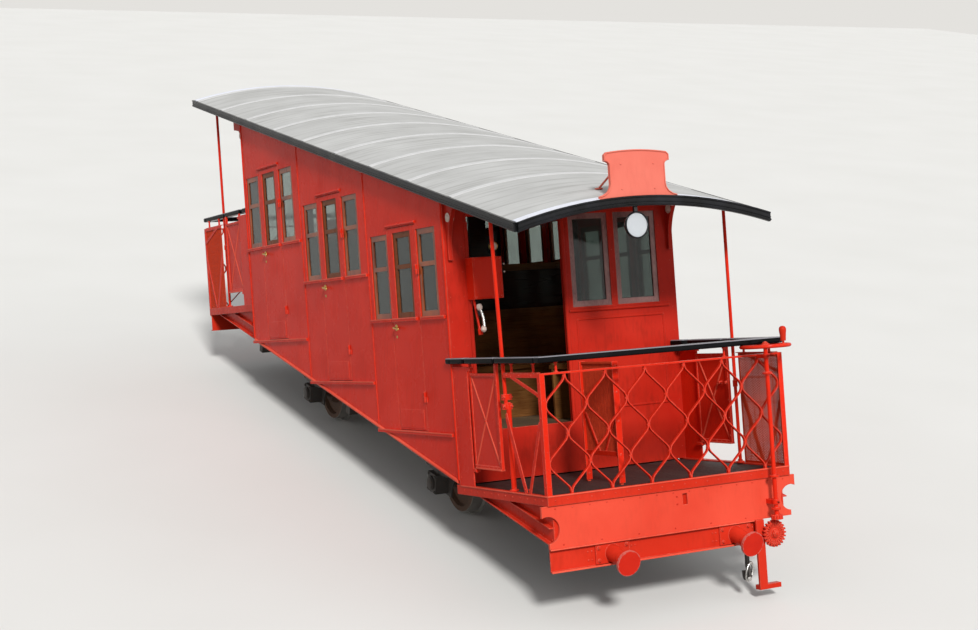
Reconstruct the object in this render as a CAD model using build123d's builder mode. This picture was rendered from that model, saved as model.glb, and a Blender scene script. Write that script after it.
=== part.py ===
import os
from math import atan2, cos, degrees, pi, radians, sin, sqrt, tan

from build123d import *

os.makedirs("parts", exist_ok=True)

# Hill and running gear
slope_angle = 15.0
rail_gauge = 1000.0
rail_head_width = 60.0
tread_radius = 270.0
flange_height = 27.0
flange_width = 28.0
tread_width = 95.0
wheelbase = 2730.0
axle_radius = 55.0
journal_radius = 35.0
journal_clearance = 0.06
hub_radius = 95.0
hub_width = 150.0
wheel_web = 22.0
rim_depth = 45.0

# Body, in the car's own level frame
body_width = 2080.0
wall = 40.0
platform_length = 1340.0
compartment_length = 1465.0
compartments = 3
body_above_rail = 922.0
floor_thickness = 40.0
running_gap = 5.0
closing_gap = 8.0

# Roof
roof_width = 2160.0
roof_radius = 3820.0
roof_crown = 2062.0
roof_set_back = 100.0
roof_thickness = 38.0
valance_depth = 74.0
valance_thickness = 22.0
eave_depth = 68.0
eave_thickness = 24.0

# Side windows and doors
window_width = 340.0
window_first_gap = 155.0
window_pillar = 108.0
window_sill_height = 905.0
window_height = 690.0
door_width = 530.0
door_hinge_out = 8.0
hinge_radius = 8.0
hinge_pin_radius = 4.0
hinge_height = 40.0
hinge_leaf = 34.0
sash_width = 45.0
sash_thickness = 24.0
glass_thickness = 5.0
moulding_depth = 18.0
moulding_height = 26.0

# Platform ends
frame_rail_height = 70.0
frame_rail_width = 40.0
deck_drop = 10.0
deck_thickness = 30.0
fascia_depth = 300.0
fascia_thickness = 22.0
fascia_set_back = 14.0
fascia_overhang = 48.0
beam_height = 165.0
beam_depth = 50.0
beam_plate = 10.0
beam_right_end = 765.0
outer_channel_plate = 8.0
outer_channel_height = 125.0
outer_channel_flange = 34.0
outer_channel_set_in = 50.0

# Lattice railing
lattice_height = 850.0
lattice_pitch = 1000.0 / 3
lattice_columns = 6
lattice_depth = 25.0
lattice_strip = 8.0
lattice_bend = 28.0
lattice_stem = 10.0
lattice_rail = 14.0
corner_post = 40.0
corner_post_plate = 8.0

# Handrail and gates
handrail_top = 968.0
handrail_thickness = 45.0
handrail_width = 80.0
handrail_overhang = 50.0
handrail_out_left = 26.0
handrail_out_right = -15.0
handrail_joint = 0.5
stub_radius = 9.0
roof_post_radius = 19.0
roof_post_thin = 14.0
roof_post_station = 555.0
gate_start = 660.0
gate_hinge_station = 1085.0
gate_plate_start = 1107.0
gate_plate_top = 900.0
gate_bottom = 145.0
gate_top = 850.0
gate_sheet = 4.0
gate_frame = 30.0
gate_strap = 16.0

# Buffers
buffer_spread = 530.0
buffer_length = 207.0
buffer_head_radius = 92.0
buffer_head_thickness = 22.0
buffer_foot_radius = 66.0
buffer_barrel_radius = 52.0
buffer_neck_radius = 44.0
buffer_neck = 34.0
buffer_plate_width = 280.0
buffer_plate_height = 138.0
buffer_plate = 14.0

# Underframe
sole_bar_drop = 30.0
sole_bar_height = 110.0
sole_bar_inner = 712.0
sole_bar_flange = 88.0
sole_bar_plate = 10.0
cross_bar_width = 80.0
axlebox_width = 150.0
axlebox_height = 160.0
axlebox_length = 118.0
guard_plate = 12.0
spring_half_span = 400.0
spring_width = 60.0
spring_leaf = 9.0
spring_leaves = 5

# Hand brake
brake_column_across = 835.0
brake_column_ahead = -80.0
brake_column_radius = 16.0
brake_wheel_radius = 191.0
brake_wheel_rim = 14.0
brake_wheel_height = 893.0
brake_knob_turn = -79.0
brake_gear_radius = 100.0
brake_gear_height = -480.0
brake_gear_teeth = 22
brake_gear_out = 36.0
brake_pinion_radius = 44.0
brake_pinion_teeth = 12

# Values worked out from the driving sizes
tilt_sin = sin(radians(slope_angle))
tilt_cos = cos(radians(slope_angle))
grade = tan(radians(slope_angle))
step_rise = compartment_length * grade
half_width = body_width / 2
under_radius = roof_radius - roof_thickness
roof_half = roof_width / 2
total_length = 2 * platform_length + compartments * compartment_length
rear_station = total_length - platform_length
rear_level = (total_length - platform_length) * grade
tread_centre = rail_gauge / 2 + rail_head_width / 2
axle_height = tread_radius + flange_height
body_origin_height = body_above_rail + flange_height
sill_height = body_origin_height - platform_length * tilt_sin

# The car stands with its wheels on the level and its body leaning back by the slope of its line
buffer_web = beam_depth - beam_plate
beam_top = -frame_rail_height - fascia_depth
beam_low = beam_top - beam_height
buffer_height = (beam_top + beam_low) / 2
front_reach = buffer_web * tilt_cos + buffer_height * tilt_sin - buffer_length - buffer_head_thickness
rear_roof = total_length - roof_set_back
rear_crown = roof_crown + (rear_roof - roof_set_back) * grade
rear_reach = rear_roof * tilt_cos + rear_crown * tilt_sin + valance_thickness * tilt_cos
middle = (front_reach + rear_reach) / 2
row = Location((0, -middle, 0))
car = Location((0, -middle, body_origin_height), (-slope_angle, 0, 0))
rear = car * Location((0, total_length, rear_level), (0, 0, 180))
ends = [("front", car), ("rear", rear)]


def across(base, y):
    """Upright plane across the car at station y, its normal facing out of that end."""
    return Plane(base * Plane(origin=(0, y, 0), x_dir=(1, 0, 0), z_dir=(0, -1, 0)).location)


def along(base, x):
    """Upright plane along the car at x, with its first axis along the car."""
    return Plane(base * Plane(origin=(x, 0, 0), x_dir=(0, 1, 0), z_dir=(1, 0, 0)).location)


def level(base, z):
    """Level plane at height z."""
    return Plane(base * Plane(origin=(0, 0, z), x_dir=(1, 0, 0), z_dir=(0, 0, 1)).location)


def block(base, low, high, mode=Mode.ADD):
    """Square-edged bar or plate between two opposite corners."""
    size = [b - a for a, b in zip(low, high)]
    centre = tuple((a + b) / 2 for a, b in zip(low, high))
    with Locations(base * Location(centre)):
        Box(*size, mode=mode)


def rod(base, start, end, radius):
    """Round bar from one point to another."""
    axis = Vector(*end) - Vector(*start)
    with Locations(base * Plane(origin=start, z_dir=axis).location):
        Cylinder(radius, axis.length, align=(Align.CENTER, Align.CENTER, Align.MIN))


def sill(y):
    """Height of the inclined bottom edge of the body at station y."""
    return (y - platform_length) * grade


def compartment_start(number):
    return platform_length + number * compartment_length


def floor_level(number):
    return (number + 1) * step_rise


def crown_drop(x, radius=roof_radius):
    return radius - sqrt(radius * radius - x * x)


def roof_underside(y, x=half_width):
    under = roof_radius - roof_thickness
    return roof_crown - roof_thickness - crown_drop(x, under) + (y - roof_set_back) * grade


def arch_points(radius, crown, half):
    """Left end, crown and right end of the roof's arch."""
    low = crown - crown_drop(half, radius)
    return [(-half, low), (0, crown), (half, low)]


def trim_to_roof(below):
    """Cut away what rises into the roof, or with below set what sinks into it from above."""
    radius = roof_radius if below else under_radius
    crown = roof_crown - roof_set_back * grade - (0 if below else roof_thickness)
    with BuildSketch(across(car, 0)) as shape:
        with BuildLine():
            left, top, right = arch_points(radius, crown, roof_half)
            ThreePointArc(left, top, right)
            far = -900 if below else 900
            Polyline(right, (right[0], right[1] + far), (left[0], left[1] + far), left)
        make_face()
    extrude(shape.sketch, amount=total_length / tilt_cos, dir=(0, 1, 0), mode=Mode.SUBTRACT)


def save(builder, name):
    builder.part.label = name
    export_step(builder.part, f"parts/{name}.step")


def window_starts(number):
    first = compartment_start(number) + window_first_gap
    pitch = window_width + window_pillar
    return [first + pitch * column for column in range(3)]


def door_start(number):
    middle_window = window_starts(number)[1] + window_width / 2
    return middle_window - door_width / 2



def between(side, near, far):
    """Lowest and highest x of what lies between two distances from the centre line on one side."""
    return min(side * near, side * far), max(side * near, side * far)


sides = [("left", -1), ("right", 1)]
floor_centre = (rear_station + platform_length) / 2
centre_row = floor_centre * tilt_cos + sill(floor_centre) * tilt_sin - middle
axle_rows = [("front", centre_row - wheelbase / 2), ("rear", centre_row + wheelbase / 2)]

# Wheelsets: axle, journals and two disc wheels, each with its flange on the inner side
journal_end = sole_bar_inner + axlebox_length
for end_name, axle_row in axle_rows:
    base = row * Location((0, axle_row + middle, axle_height))
    with BuildPart() as wheelset:
        rod(base, (-journal_end, 0, 0), (journal_end, 0, 0), journal_radius)
        axle_half = tread_centre + hub_width / 2 + 20
        rod(base, (-axle_half, 0, 0), (axle_half, 0, 0), axle_radius)
        for side_name, side in sides:
            inner = tread_centre - tread_width / 2
            with BuildSketch(Plane(base * Plane(origin=(0, 0, 0), x_dir=(side, 0, 0), z_dir=(0, -side, 0)).location)) as disc:
                with BuildLine():
                    Polyline(
                        (tread_centre - hub_width / 2, 0),
                        (tread_centre - hub_width / 2, hub_radius),
                        (tread_centre - wheel_web / 2, hub_radius + 25),
                        (tread_centre - wheel_web / 2, tread_radius - rim_depth - 12),
                        (inner - flange_width, tread_radius - rim_depth),
                        (inner - flange_width, tread_radius + flange_height - 10),
                        (inner - flange_width + 8, tread_radius + flange_height),
                        (inner - flange_width + 16, tread_radius + flange_height),
                        (inner, tread_radius + 4),
                        (tread_centre + tread_width / 2, tread_radius - 3),
                        (tread_centre + tread_width / 2, tread_radius - rim_depth),
                        (tread_centre + wheel_web / 2, tread_radius - rim_depth - 12),
                        (tread_centre + wheel_web / 2, hub_radius + 25),
                        (tread_centre + hub_width / 2, hub_radius),
                        (tread_centre + hub_width / 2, 0),
                        close=True,
                    )
                make_face()
            revolve(disc.sketch, axis=Axis((base * Location((0, 0, 0))).position, (1, 0, 0)))
    save(wheelset, f"{end_name}_wheelset")

# Underframe: two sole bars of channel, cross bars between them and bearers up to the platforms
sole_top = sill_height - sole_bar_drop
sole_low = sole_top - sole_bar_height
sole_start = -sole_bar_height
sole_end = total_length / tilt_cos
body_row_start = platform_length * tilt_cos
body_row_end = rear_station * tilt_cos + sill(rear_station) * tilt_sin
with BuildPart() as underframe:
    for side_name, side in sides:
        web = between(side, sole_bar_inner, sole_bar_inner + sole_bar_plate)
        flange = between(side, sole_bar_inner, sole_bar_inner + sole_bar_flange)
        block(row, (web[0], sole_start, sole_low), (web[1], sole_end, sole_top))
        block(row, (flange[0], sole_start, sole_low), (flange[1], sole_end, sole_low + sole_bar_plate))
        block(row, (flange[0], sole_start, sole_top - sole_bar_plate), (flange[1], sole_end, sole_top))
        lowest = sole_bar_drop / tilt_cos + 5
        deck_low = -deck_drop - deck_thickness
        with BuildSketch(along(car, web[0])) as bearers:
            for near, z in ((0, deck_low), (rear_station, rear_level + deck_low)):
                with BuildLine():
                    meeting = platform_length + (z + lowest) / grade
                    Polyline((near, z), (meeting, z), (near, sill(near) - lowest), close=True)
                make_face()
        extrude(bearers.sketch, amount=sole_bar_plate)
    frame_start = body_row_start + cross_bar_width
    frame_end = body_row_end - cross_bar_width
    for share in (0, 0.5, 1):
        y = frame_start + (frame_end - frame_start) * share
        width = cross_bar_width / 2
        block(row, (-half_width + wall, y - width, sole_top - 70), (half_width - wall, y + width, sole_top))
    for y in (150, total_length / tilt_cos - 330):
        inner = sole_bar_inner
        block(row, (-inner, y - 30, sole_top - 90), (inner, y + 30, sole_top))
    reach = 2000.0
    far = total_length - beam_depth
    block(car, (-reach, beam_depth - reach, -reach), (reach, beam_depth, reach), Mode.SUBTRACT)
    block(car, (-reach, far, -reach), (reach, far + reach, 2 * reach), Mode.SUBTRACT)
save(underframe, "underframe")

# Axle guards and leaf springs, one set over each journal
guard_top = sole_top - 10
box_top = axle_height + axlebox_height / 2
spring_base = box_top
with BuildPart() as guards:
    for side_name, side in sides:
        for end_name, axle_row in axle_rows:
            y = axle_row + middle
            x = between(side, sole_bar_inner - guard_plate, sole_bar_inner)
            plane = Plane(row * Plane(origin=(x[0], y, 0), x_dir=(0, 1, 0), z_dir=(1, 0, 0)).location)
            foot = axle_height - axlebox_height / 2 - 20
            with BuildSketch(plane) as horn:
                with BuildLine():
                    Polyline(
                        (-260, guard_top),
                        (260, guard_top),
                        (130, foot + 60),
                        (130, foot),
                        (-130, foot),
                        (-130, foot + 60),
                        close=True,
                    )
                make_face()
                slot_low = axle_height - axlebox_height / 2
                with Locations((0, (slot_low + box_top + 40) / 2)):
                    Rectangle(axlebox_width, box_top + 40 - slot_low, mode=Mode.SUBTRACT)
            extrude(horn.sketch, amount=guard_plate)
save(guards, "axle_guards")

spring_outer = sole_bar_inner + 18
with BuildPart() as springs:
    for side_name, side in sides:
        x = between(side, spring_outer, spring_outer + spring_width)
        for end_name, axle_row in axle_rows:
            base = row * Location((0, axle_row + middle, 0))
            block(base, (x[0] - 4, -45, box_top), (x[1] + 4, 45, box_top + spring_leaf * spring_leaves + 8))
            for leaf in range(spring_leaves):
                span = spring_half_span * (1 - 0.17 * (spring_leaves - 1 - leaf))
                z = box_top + 4 + spring_leaf * leaf
                rise = 0.00016 * span * span
                plane = Plane(base * Plane(origin=(x[0], 0, 0), x_dir=(0, 1, 0), z_dir=(1, 0, 0)).location)
                with BuildSketch(plane) as blade:
                    with BuildLine():
                        lower = ThreePointArc((-span, z + rise), (0, z), (span, z + rise))
                        upper = ThreePointArc(
                            (-span, z + rise + spring_leaf), (0, z + spring_leaf), (span, z + rise + spring_leaf)
                        )
                        Line(lower @ 0, upper @ 0)
                        Line(lower @ 1, upper @ 1)
                    make_face()
                extrude(blade.sketch, amount=spring_width)
            top_rise = 0.00016 * spring_half_span ** 2 + box_top + 4 + spring_leaf * (spring_leaves - 0.5)
            for end in (-1, 1):
                y = end * (spring_half_span - 14)
                block(base, (x[0], y - 14, top_rise - 8), (x[1], y + 14, sole_top - sole_bar_height))
save(springs, "leaf_springs")

with BuildPart() as axleboxes:
    for side_name, side in sides:
        x = between(side, sole_bar_inner - guard_plate, sole_bar_inner + axlebox_length)
        for end_name, axle_row in axle_rows:
            base = row * Location((0, axle_row + middle, axle_height))
            half = axlebox_width / 2
            tall = axlebox_height / 2
            block(base, (x[0], -half, -tall), (x[1], half, tall))
            cap_start = side * (sole_bar_inner + axlebox_length)
            cap_end = side * (sole_bar_inner + axlebox_length + 18)
            rod(base, (cap_start, 0, 0), (cap_end, 0, 0), 58)
            with Locations(base * Plane(origin=((x[0] + x[1]) / 2, 0, 0), z_dir=(1, 0, 0)).location):
                Cylinder(journal_radius + journal_clearance, x[1] - x[0] + 1, mode=Mode.SUBTRACT)
save(axleboxes, "axleboxes")

# Compartment floors: one level floor to each step of the body, with a riser to the next
with BuildPart() as floors:
    for number in range(compartments):
        start = compartment_start(number) + (wall if number == 0 else 0)
        end = compartment_start(number + 1) - (wall if number == compartments - 1 else 0)
        z = floor_level(number)
        inside = half_width - wall
        block(car, (-inside, start, z - floor_thickness), (inside, end, z))
        if number:
            lower = floor_level(number - 1)
            block(car, (-inside, start, lower - floor_thickness), (inside, start + floor_thickness, z))
    under = 300.0
    block(row, (-half_width, 0, sole_top - under), (half_width, total_length / tilt_cos, sole_top), Mode.SUBTRACT)
save(floors, "compartment_floors")

# Body sides: one panel each side from the inclined sill to the roof, cut for windows and doors
wall_start = platform_length + wall
wall_end = rear_station - wall
door_gap = running_gap
for side_name, side in sides:
    with BuildPart() as panel:
        x = between(side, half_width - wall, half_width)
        with BuildSketch(along(car, x[0])) as outline:
            with BuildLine():
                Polyline(
                    (wall_start, sill(wall_start)),
                    (wall_end, sill(wall_end)),
                    (wall_end, roof_underside(wall_end) + wall),
                    (wall_start, roof_underside(wall_start) + wall),
                    close=True,
                )
            make_face()
            for number in range(compartments):
                z = floor_level(number)
                for column, start in enumerate(window_starts(number)):
                    if column != 1:
                        centre = (start + window_width / 2, z + window_sill_height + window_height / 2)
                        with Locations(centre):
                            Rectangle(window_width, window_height, mode=Mode.SUBTRACT)
                door_top = window_sill_height + window_height + sash_width
                with Locations((door_start(number) + door_width / 2, z + door_top / 2)):
                    Rectangle(door_width, door_top, mode=Mode.SUBTRACT)
        extrude(outline.sketch, amount=wall)
        trim_to_roof(False)
    save(panel, f"body_side_{side_name}")

# Sashes: varnished frames with a middle rail in every side window and in the end bulkheads
def sash(base, low, high, rail=True):
    block(base, low, high)
    thick = high[0] - low[0]
    flat = high[1] - low[1]
    if thick < flat:
        inner_low = (low[0], low[1] + sash_width, low[2] + sash_width)
        inner_high = (high[0], high[1] - sash_width, high[2] - sash_width)
    else:
        inner_low = (low[0] + sash_width, low[1], low[2] + sash_width)
        inner_high = (high[0] - sash_width, high[1], high[2] - sash_width)
    block(base, inner_low, inner_high, Mode.SUBTRACT)
    if rail:
        rail_height = low[2] + 0.57 * (high[2] - low[2])
        block(base, (inner_low[0], inner_low[1], rail_height), (inner_high[0], inner_high[1], rail_height + 36))


def side_openings(number, column):
    start = window_starts(number)[column]
    z = floor_level(number) + window_sill_height
    return start, start + window_width, z, z + window_height


sash_in = half_width - wall / 2 - sash_thickness / 2
sash_out = sash_in + sash_thickness
glass_in = half_width - wall / 2 - glass_thickness / 2
glass_out = glass_in + glass_thickness
bulkhead_windows = [(60, 423), (480, 877)]
bulkhead_window_low = 1290.0
bulkhead_window_high = 2030.0
rear_window_raise = 330.0
bulkheads = [("front", platform_length, 0.0), ("rear", rear_station - wall, rear_level)]
doorway = (-840, -10)
doorway_heights = {"front": 2040.0, "rear": 1850.0}


def bulkhead_panes(station, z):
    middle_y = station + wall / 2
    raise_by = 0 if z == 0 else -rear_window_raise
    for low_x, high_x in bulkhead_windows:
        yield low_x, high_x, middle_y, z + bulkhead_window_low + raise_by, z + bulkhead_window_high + raise_by


with BuildPart() as sashes:
    for side_name, side in sides:
        x = between(side, sash_in, sash_out)
        for number in range(compartments):
            for column in (0, 2):
                start, end, low, high = side_openings(number, column)
                sash(car, (x[0], start, low), (x[1], end, high))
    for bulkhead_name, station, z in bulkheads:
        for low_x, high_x, y, low, high in bulkhead_panes(station, z):
            half = sash_thickness / 2
            sash(car, (low_x, y - half, low), (high_x, y + half, high), False)
save(sashes, "window_sashes")

# Side doors: one to each compartment and side, hung on its downhill edge to swing outwards
hinge_heights = (230.0, 1240.0)


def door_pin(side, number):
    """Place of one door's hinge pin, just outside the wall and midway in the running gap."""
    return side * (half_width + door_hinge_out), door_start(number) + running_gap / 2


for side_name, side in sides:
    x = between(side, half_width - wall, half_width)
    sash_x = between(side, sash_in, sash_out)
    glass_x = between(side, glass_in, glass_out)
    for number in range(compartments):
        z = floor_level(number)
        start, end, low, high = side_openings(number, 1)
        with BuildPart() as door:
            near = door_start(number) + running_gap
            far = door_start(number) + door_width - closing_gap
            block(car, (x[0], near, z + running_gap), (x[1], far, high + sash_width - running_gap))
            block(car, (x[0], start, low), (x[1], end, high), Mode.SUBTRACT)
            strip_x = between(side, half_width, half_width + moulding_depth)
            strip_low = (strip_x[0], near + hinge_leaf + closing_gap, low - moulding_height)
            block(car, strip_low, (strip_x[1], far - 4, low))
            block(car, (sash_x[0], start, low), (sash_x[1], end, high))
            rail_low = low + 0.57 * (high - low)
            for pane_low, pane_high in ((low + sash_width, rail_low), (rail_low + 36, high - sash_width)):
                pane = (start + sash_width, end - sash_width)
                block(car, (x[0], pane[0], pane_low), (x[1], pane[1], pane_high), Mode.SUBTRACT)
            pin_x, pin_y = door_pin(side, number)
            for base_z in hinge_heights:
                low_z = z + base_z + hinge_height + 1
                high_z = low_z + hinge_height
                leaf_x = between(side, half_width, half_width + door_hinge_out)
                block(car, (leaf_x[0], pin_y, low_z), (leaf_x[1], pin_y + hinge_leaf, high_z))
                rod(car, (pin_x, pin_y, low_z), (pin_x, pin_y, high_z), hinge_radius)
                with Locations(car * Location((pin_x, pin_y, (low_z + high_z) / 2))):
                    Cylinder(hinge_pin_radius + journal_clearance, hinge_height + 2, mode=Mode.SUBTRACT)
        save(door, f"door_{side_name}_{number + 1}")
        with BuildPart() as door_glass:
            for pane_low, pane_high in ((low + sash_width, rail_low), (rail_low + 36, high - sash_width)):
                block(car, (glass_x[0], pane[0], pane_low), (glass_x[1], pane[1], pane_high))
        save(door_glass, f"door_glass_{side_name}_{number + 1}")

with BuildPart() as glass:
    for side_name, side in sides:
        x = between(side, glass_in, glass_out)
        for number in range(compartments):
            for column in (0, 2):
                start, end, low, high = side_openings(number, column)
                rail_low = low + 0.57 * (high - low)
                block(car, (x[0], start + sash_width, low + sash_width), (x[1], end - sash_width, rail_low))
                block(car, (x[0], start + sash_width, rail_low + 36), (x[1], end - sash_width, high - sash_width))
    for bulkhead_name, station, z in bulkheads:
        for low_x, high_x, y, low, high in bulkhead_panes(station, z):
            half = glass_thickness / 2
            near = (low_x + sash_width, y - half, low + sash_width)
            block(car, near, (high_x - sash_width, y + half, high - sash_width))
save(glass, "window_glass")

# Bulkheads: one at each platform, open at the doorway and glazed beside it
for bulkhead_name, station, z in bulkheads:
    with BuildPart() as bulkhead:
        door_low = max(z, floor_level(0))
        with BuildSketch(across(car, station + wall)) as outline:
            with BuildLine():
                high = roof_crown + (station + wall) * grade
                low = sill(station)
                Polyline((-half_width, low), (half_width, low), (half_width, high), (-half_width, high), close=True)
            make_face()
            for low_x, high_x, y, low, high in bulkhead_panes(station, z):
                with Locations(((low_x + high_x) / 2, (low + high) / 2)):
                    Rectangle(high_x - low_x, high - low, mode=Mode.SUBTRACT)
            door_high = z + doorway_heights[bulkhead_name]
            with Locations(((doorway[0] + doorway[1]) / 2, (door_low + door_high) / 2)):
                Rectangle(doorway[1] - doorway[0], door_high - door_low, mode=Mode.SUBTRACT)
        extrude(outline.sketch, amount=wall)
        trim_to_roof(False)
        deep = 200.0
        block(
            row,
            (-half_width, 0, sill_height - deep),
            (half_width, total_length / tilt_cos, sill_height),
            Mode.SUBTRACT,
        )
    save(bulkhead, f"{bulkhead_name}_bulkhead")

# Partitions between the compartments, boarded below and open above the seat backs
partition = 28.0
partition_sill = 1150.0
partition_top = 1780.0
with BuildPart() as partitions:
    for number in range(1, compartments):
        station = compartment_start(number)
        z = floor_level(number)
        high = roof_crown + station * grade
        inside = half_width - wall
        with BuildSketch(across(car, station)) as outline:
            with BuildLine():
                low = z - step_rise
                Polyline((-inside, low), (inside, low), (inside, high), (-inside, high), close=True)
            make_face()
            for centre in (-inside / 2, inside / 2):
                with Locations((centre, z - step_rise + (partition_sill + partition_top) / 2 + 100)):
                    Rectangle(inside - 160, partition_top - partition_sill, mode=Mode.SUBTRACT)
        extrude(outline.sketch, amount=partition)
    trim_to_roof(False)
save(partitions, "partitions")

# Benches: two in each compartment, facing each other between the doors
bench_depth = 400.0
bench_height = 440.0
bench_board = 32.0
with BuildPart() as benches:
    for number in range(compartments):
        z = floor_level(number)
        inside = half_width - wall
        downhill = compartment_start(number) + (wall if number == 0 else floor_thickness)
        uphill = compartment_start(number + 1) - (wall if number == compartments - 1 else partition)
        for start, facing in ((downhill, 1), (uphill, -1)):
            by_doorway = number == (0 if facing > 0 else compartments - 1)
            left = doorway[1] + 60 if by_doorway else -inside
            seat = sorted((start, start + facing * bench_depth))
            block(car, (left, seat[0], z + bench_height - bench_board), (inside, seat[1], z + bench_height))
            front = sorted((start + facing * (bench_depth - 60), start + facing * (bench_depth - 35)))
            block(car, (left, front[0], z), (inside, front[1], z + bench_height - bench_board))
            back = sorted((start, start + facing * 26))
            block(car, (left, back[0], z + bench_height), (inside, back[1], z + bench_height + 480))
save(benches, "benches")

# Roof: one barrel shell that runs straight up the slope over both platforms
roof_row_length = (total_length - 2 * roof_set_back) / tilt_cos
with BuildPart() as roof:
    with BuildSketch(across(car, roof_set_back)) as profile:
        with BuildLine():
            left, top, right = arch_points(roof_radius, roof_crown, roof_half)
            ThreePointArc(left, top, right)
            low_left, low_top, low_right = arch_points(under_radius, roof_crown - roof_thickness, roof_half)
            ThreePointArc(low_left, low_top, low_right)
            Line(left, low_left)
            Line(right, low_right)
        make_face()
    extrude(profile.sketch, amount=roof_row_length, dir=(0, 1, 0))
save(roof, "roof")

# Roof edging: a curved valance at each end and an eave board down each side
with BuildPart() as edging:
    for y in (roof_set_back, rear_roof + valance_thickness):
        base_crown = roof_crown + (min(y, rear_roof) - roof_set_back) * grade
        with BuildSketch(across(car, y)) as lip:
            with BuildLine():
                left, top, right = arch_points(roof_radius, base_crown, roof_half)
                ThreePointArc(left, top, right)
                drop = valance_depth
                ThreePointArc((left[0], left[1] - drop), (0, top[1] - drop), (right[0], right[1] - drop))
                Line(left, (left[0], left[1] - drop))
                Line(right, (right[0], right[1] - drop))
            make_face()
        extrude(lip.sketch, amount=valance_thickness)
    for side_name, side in sides:
        x = between(side, roof_half, roof_half + eave_thickness)
        edge = roof_crown - crown_drop(roof_half)
        rise_end = (rear_roof - roof_set_back) * grade
        with BuildSketch(along(car, x[0])) as board:
            with BuildLine():
                Polyline(
                    (roof_set_back, edge),
                    (rear_roof, edge + rise_end),
                    (rear_roof, edge + rise_end - eave_depth),
                    (roof_set_back, edge - eave_depth),
                    close=True,
                )
            make_face()
        extrude(board.sketch, amount=eave_thickness)
save(edging, "roof_edging")

# Side mouldings: ledge under each floor line, sill under the windows and corner battens
with BuildPart() as mouldings:
    for side_name, side in sides:
        x = between(side, half_width, half_width + moulding_depth)
        for number in range(compartments):
            z = floor_level(number)
            start = compartment_start(number) + (wall if number == 0 else 0) + 12
            end = compartment_start(number + 1) - 12
            door_edges = (door_start(number) - hinge_leaf - 6, door_start(number) + door_width + 5)
            ledge_top = z - 3
            block(car, (x[0], start, ledge_top - moulding_height), (x[1], end, ledge_top))
            for low_y, high_y in ((start, door_edges[0]), (door_edges[1], end)):
                sill_z = z + window_sill_height
                block(car, (x[0], low_y, sill_z - moulding_height), (x[1], high_y, sill_z))
save(mouldings, "side_mouldings")

# Platform frames: a steel rail round each platform and the outer channels that run up the slope below it
with BuildPart() as frames:
    for end_name, base in ends:
        rail_low = -frame_rail_height
        block(base, (-half_width, 0, rail_low), (half_width, frame_rail_width, 0))
        for side_name, side in sides:
            x = between(side, half_width - frame_rail_width, half_width)
            end = platform_length + (wall + 20 if end_name == "front" else 0)
            block(base, (x[0], frame_rail_width, rail_low), (x[1], end, 0))
    lead = fascia_set_back + fascia_thickness
    web_out = half_width - outer_channel_set_in
    runs = [(lead, 0.0, platform_length), (rear_station, rear_level, total_length)]
    plate = outer_channel_plate
    layers = [
        (web_out - plate, web_out, 0.0, outer_channel_height),
        (web_out, web_out + outer_channel_flange, 0.0, plate),
        (web_out, web_out + outer_channel_flange, outer_channel_height - plate, outer_channel_height),
    ]
    for side_name, side in sides:
        for near, far, low, high in layers:
            x = between(side, near, far)
            with BuildSketch(along(car, x[0])) as strip:
                for start, z, crossing in runs:
                    top = z - frame_rail_height
                    with BuildLine():
                        Polyline(
                            (start, sill(start) + low),
                            (crossing - (frame_rail_height + low) / grade, top),
                            (crossing - (frame_rail_height + high) / grade, top),
                            (start, sill(start) + high),
                            close=True,
                        )
                    make_face()
            extrude(strip.sketch, amount=x[1] - x[0])
save(frames, "platform_frames")

with BuildPart() as decks:
    for end_name, base in ends:
        inside = half_width - frame_rail_width
        top = -deck_drop
        block(base, (-inside, frame_rail_width, top - deck_thickness), (inside, platform_length, top))
    under = 300.0
    block(row, (-half_width, 0, sole_top - under), (half_width, total_length / tilt_cos, sole_top), Mode.SUBTRACT)
save(decks, "platform_decks")

# Fascia board under the downhill end rail, its ends cut to a scallop
scallop_radius = 95.0
scallop_height = -236.0
with BuildPart() as fascia:
    with BuildSketch(across(car, fascia_set_back + fascia_thickness)) as board:
        lip = -frame_rail_height - scallop_height
        with Locations((0, scallop_height + lip / 2)):
            Rectangle(body_width + 2 * fascia_overhang, lip)
        with Locations((0, -frame_rail_height - fascia_depth / 2)):
            Rectangle(body_width, fascia_depth)
        for side_name, side in sides:
            with Locations((side * (half_width + 8), scallop_height)):
                Circle(scallop_radius, mode=Mode.SUBTRACT)
        with Locations((100, -frame_rail_height - 75)):
            Rectangle(42, 80, mode=Mode.SUBTRACT)
    extrude(board.sketch, amount=fascia_thickness)
save(fascia, "fascia_board")

# Buffer beams: a channel with its flanges turned outwards under each fascia
with BuildPart() as beams:
    for end_name, base in ends:
        right = beam_right_end if end_name == "front" else half_width
        left = -half_width + 10 if end_name == "front" else -half_width
        top = beam_top if end_name == "front" else -frame_rail_height
        low = top - beam_height
        plate = beam_plate
        block(base, (left, beam_depth - plate, low), (right, beam_depth, top))
        block(base, (left, plate, low), (right, beam_depth - plate, low + plate))
        block(base, (left, plate, top - plate), (right, beam_depth - plate, top))
save(beams, "buffer_beams")

# Buffers on the downhill end, their barrels lying in the line of the track
barrel_length = buffer_length - buffer_neck


def buffer_base(side):
    """Frame at the foot of one buffer, its first axis across and its second out along the track."""
    foot = (car * Location((side * buffer_spread, buffer_web, buffer_height))).position
    return Location((foot.X, foot.Y, foot.Z))


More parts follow.
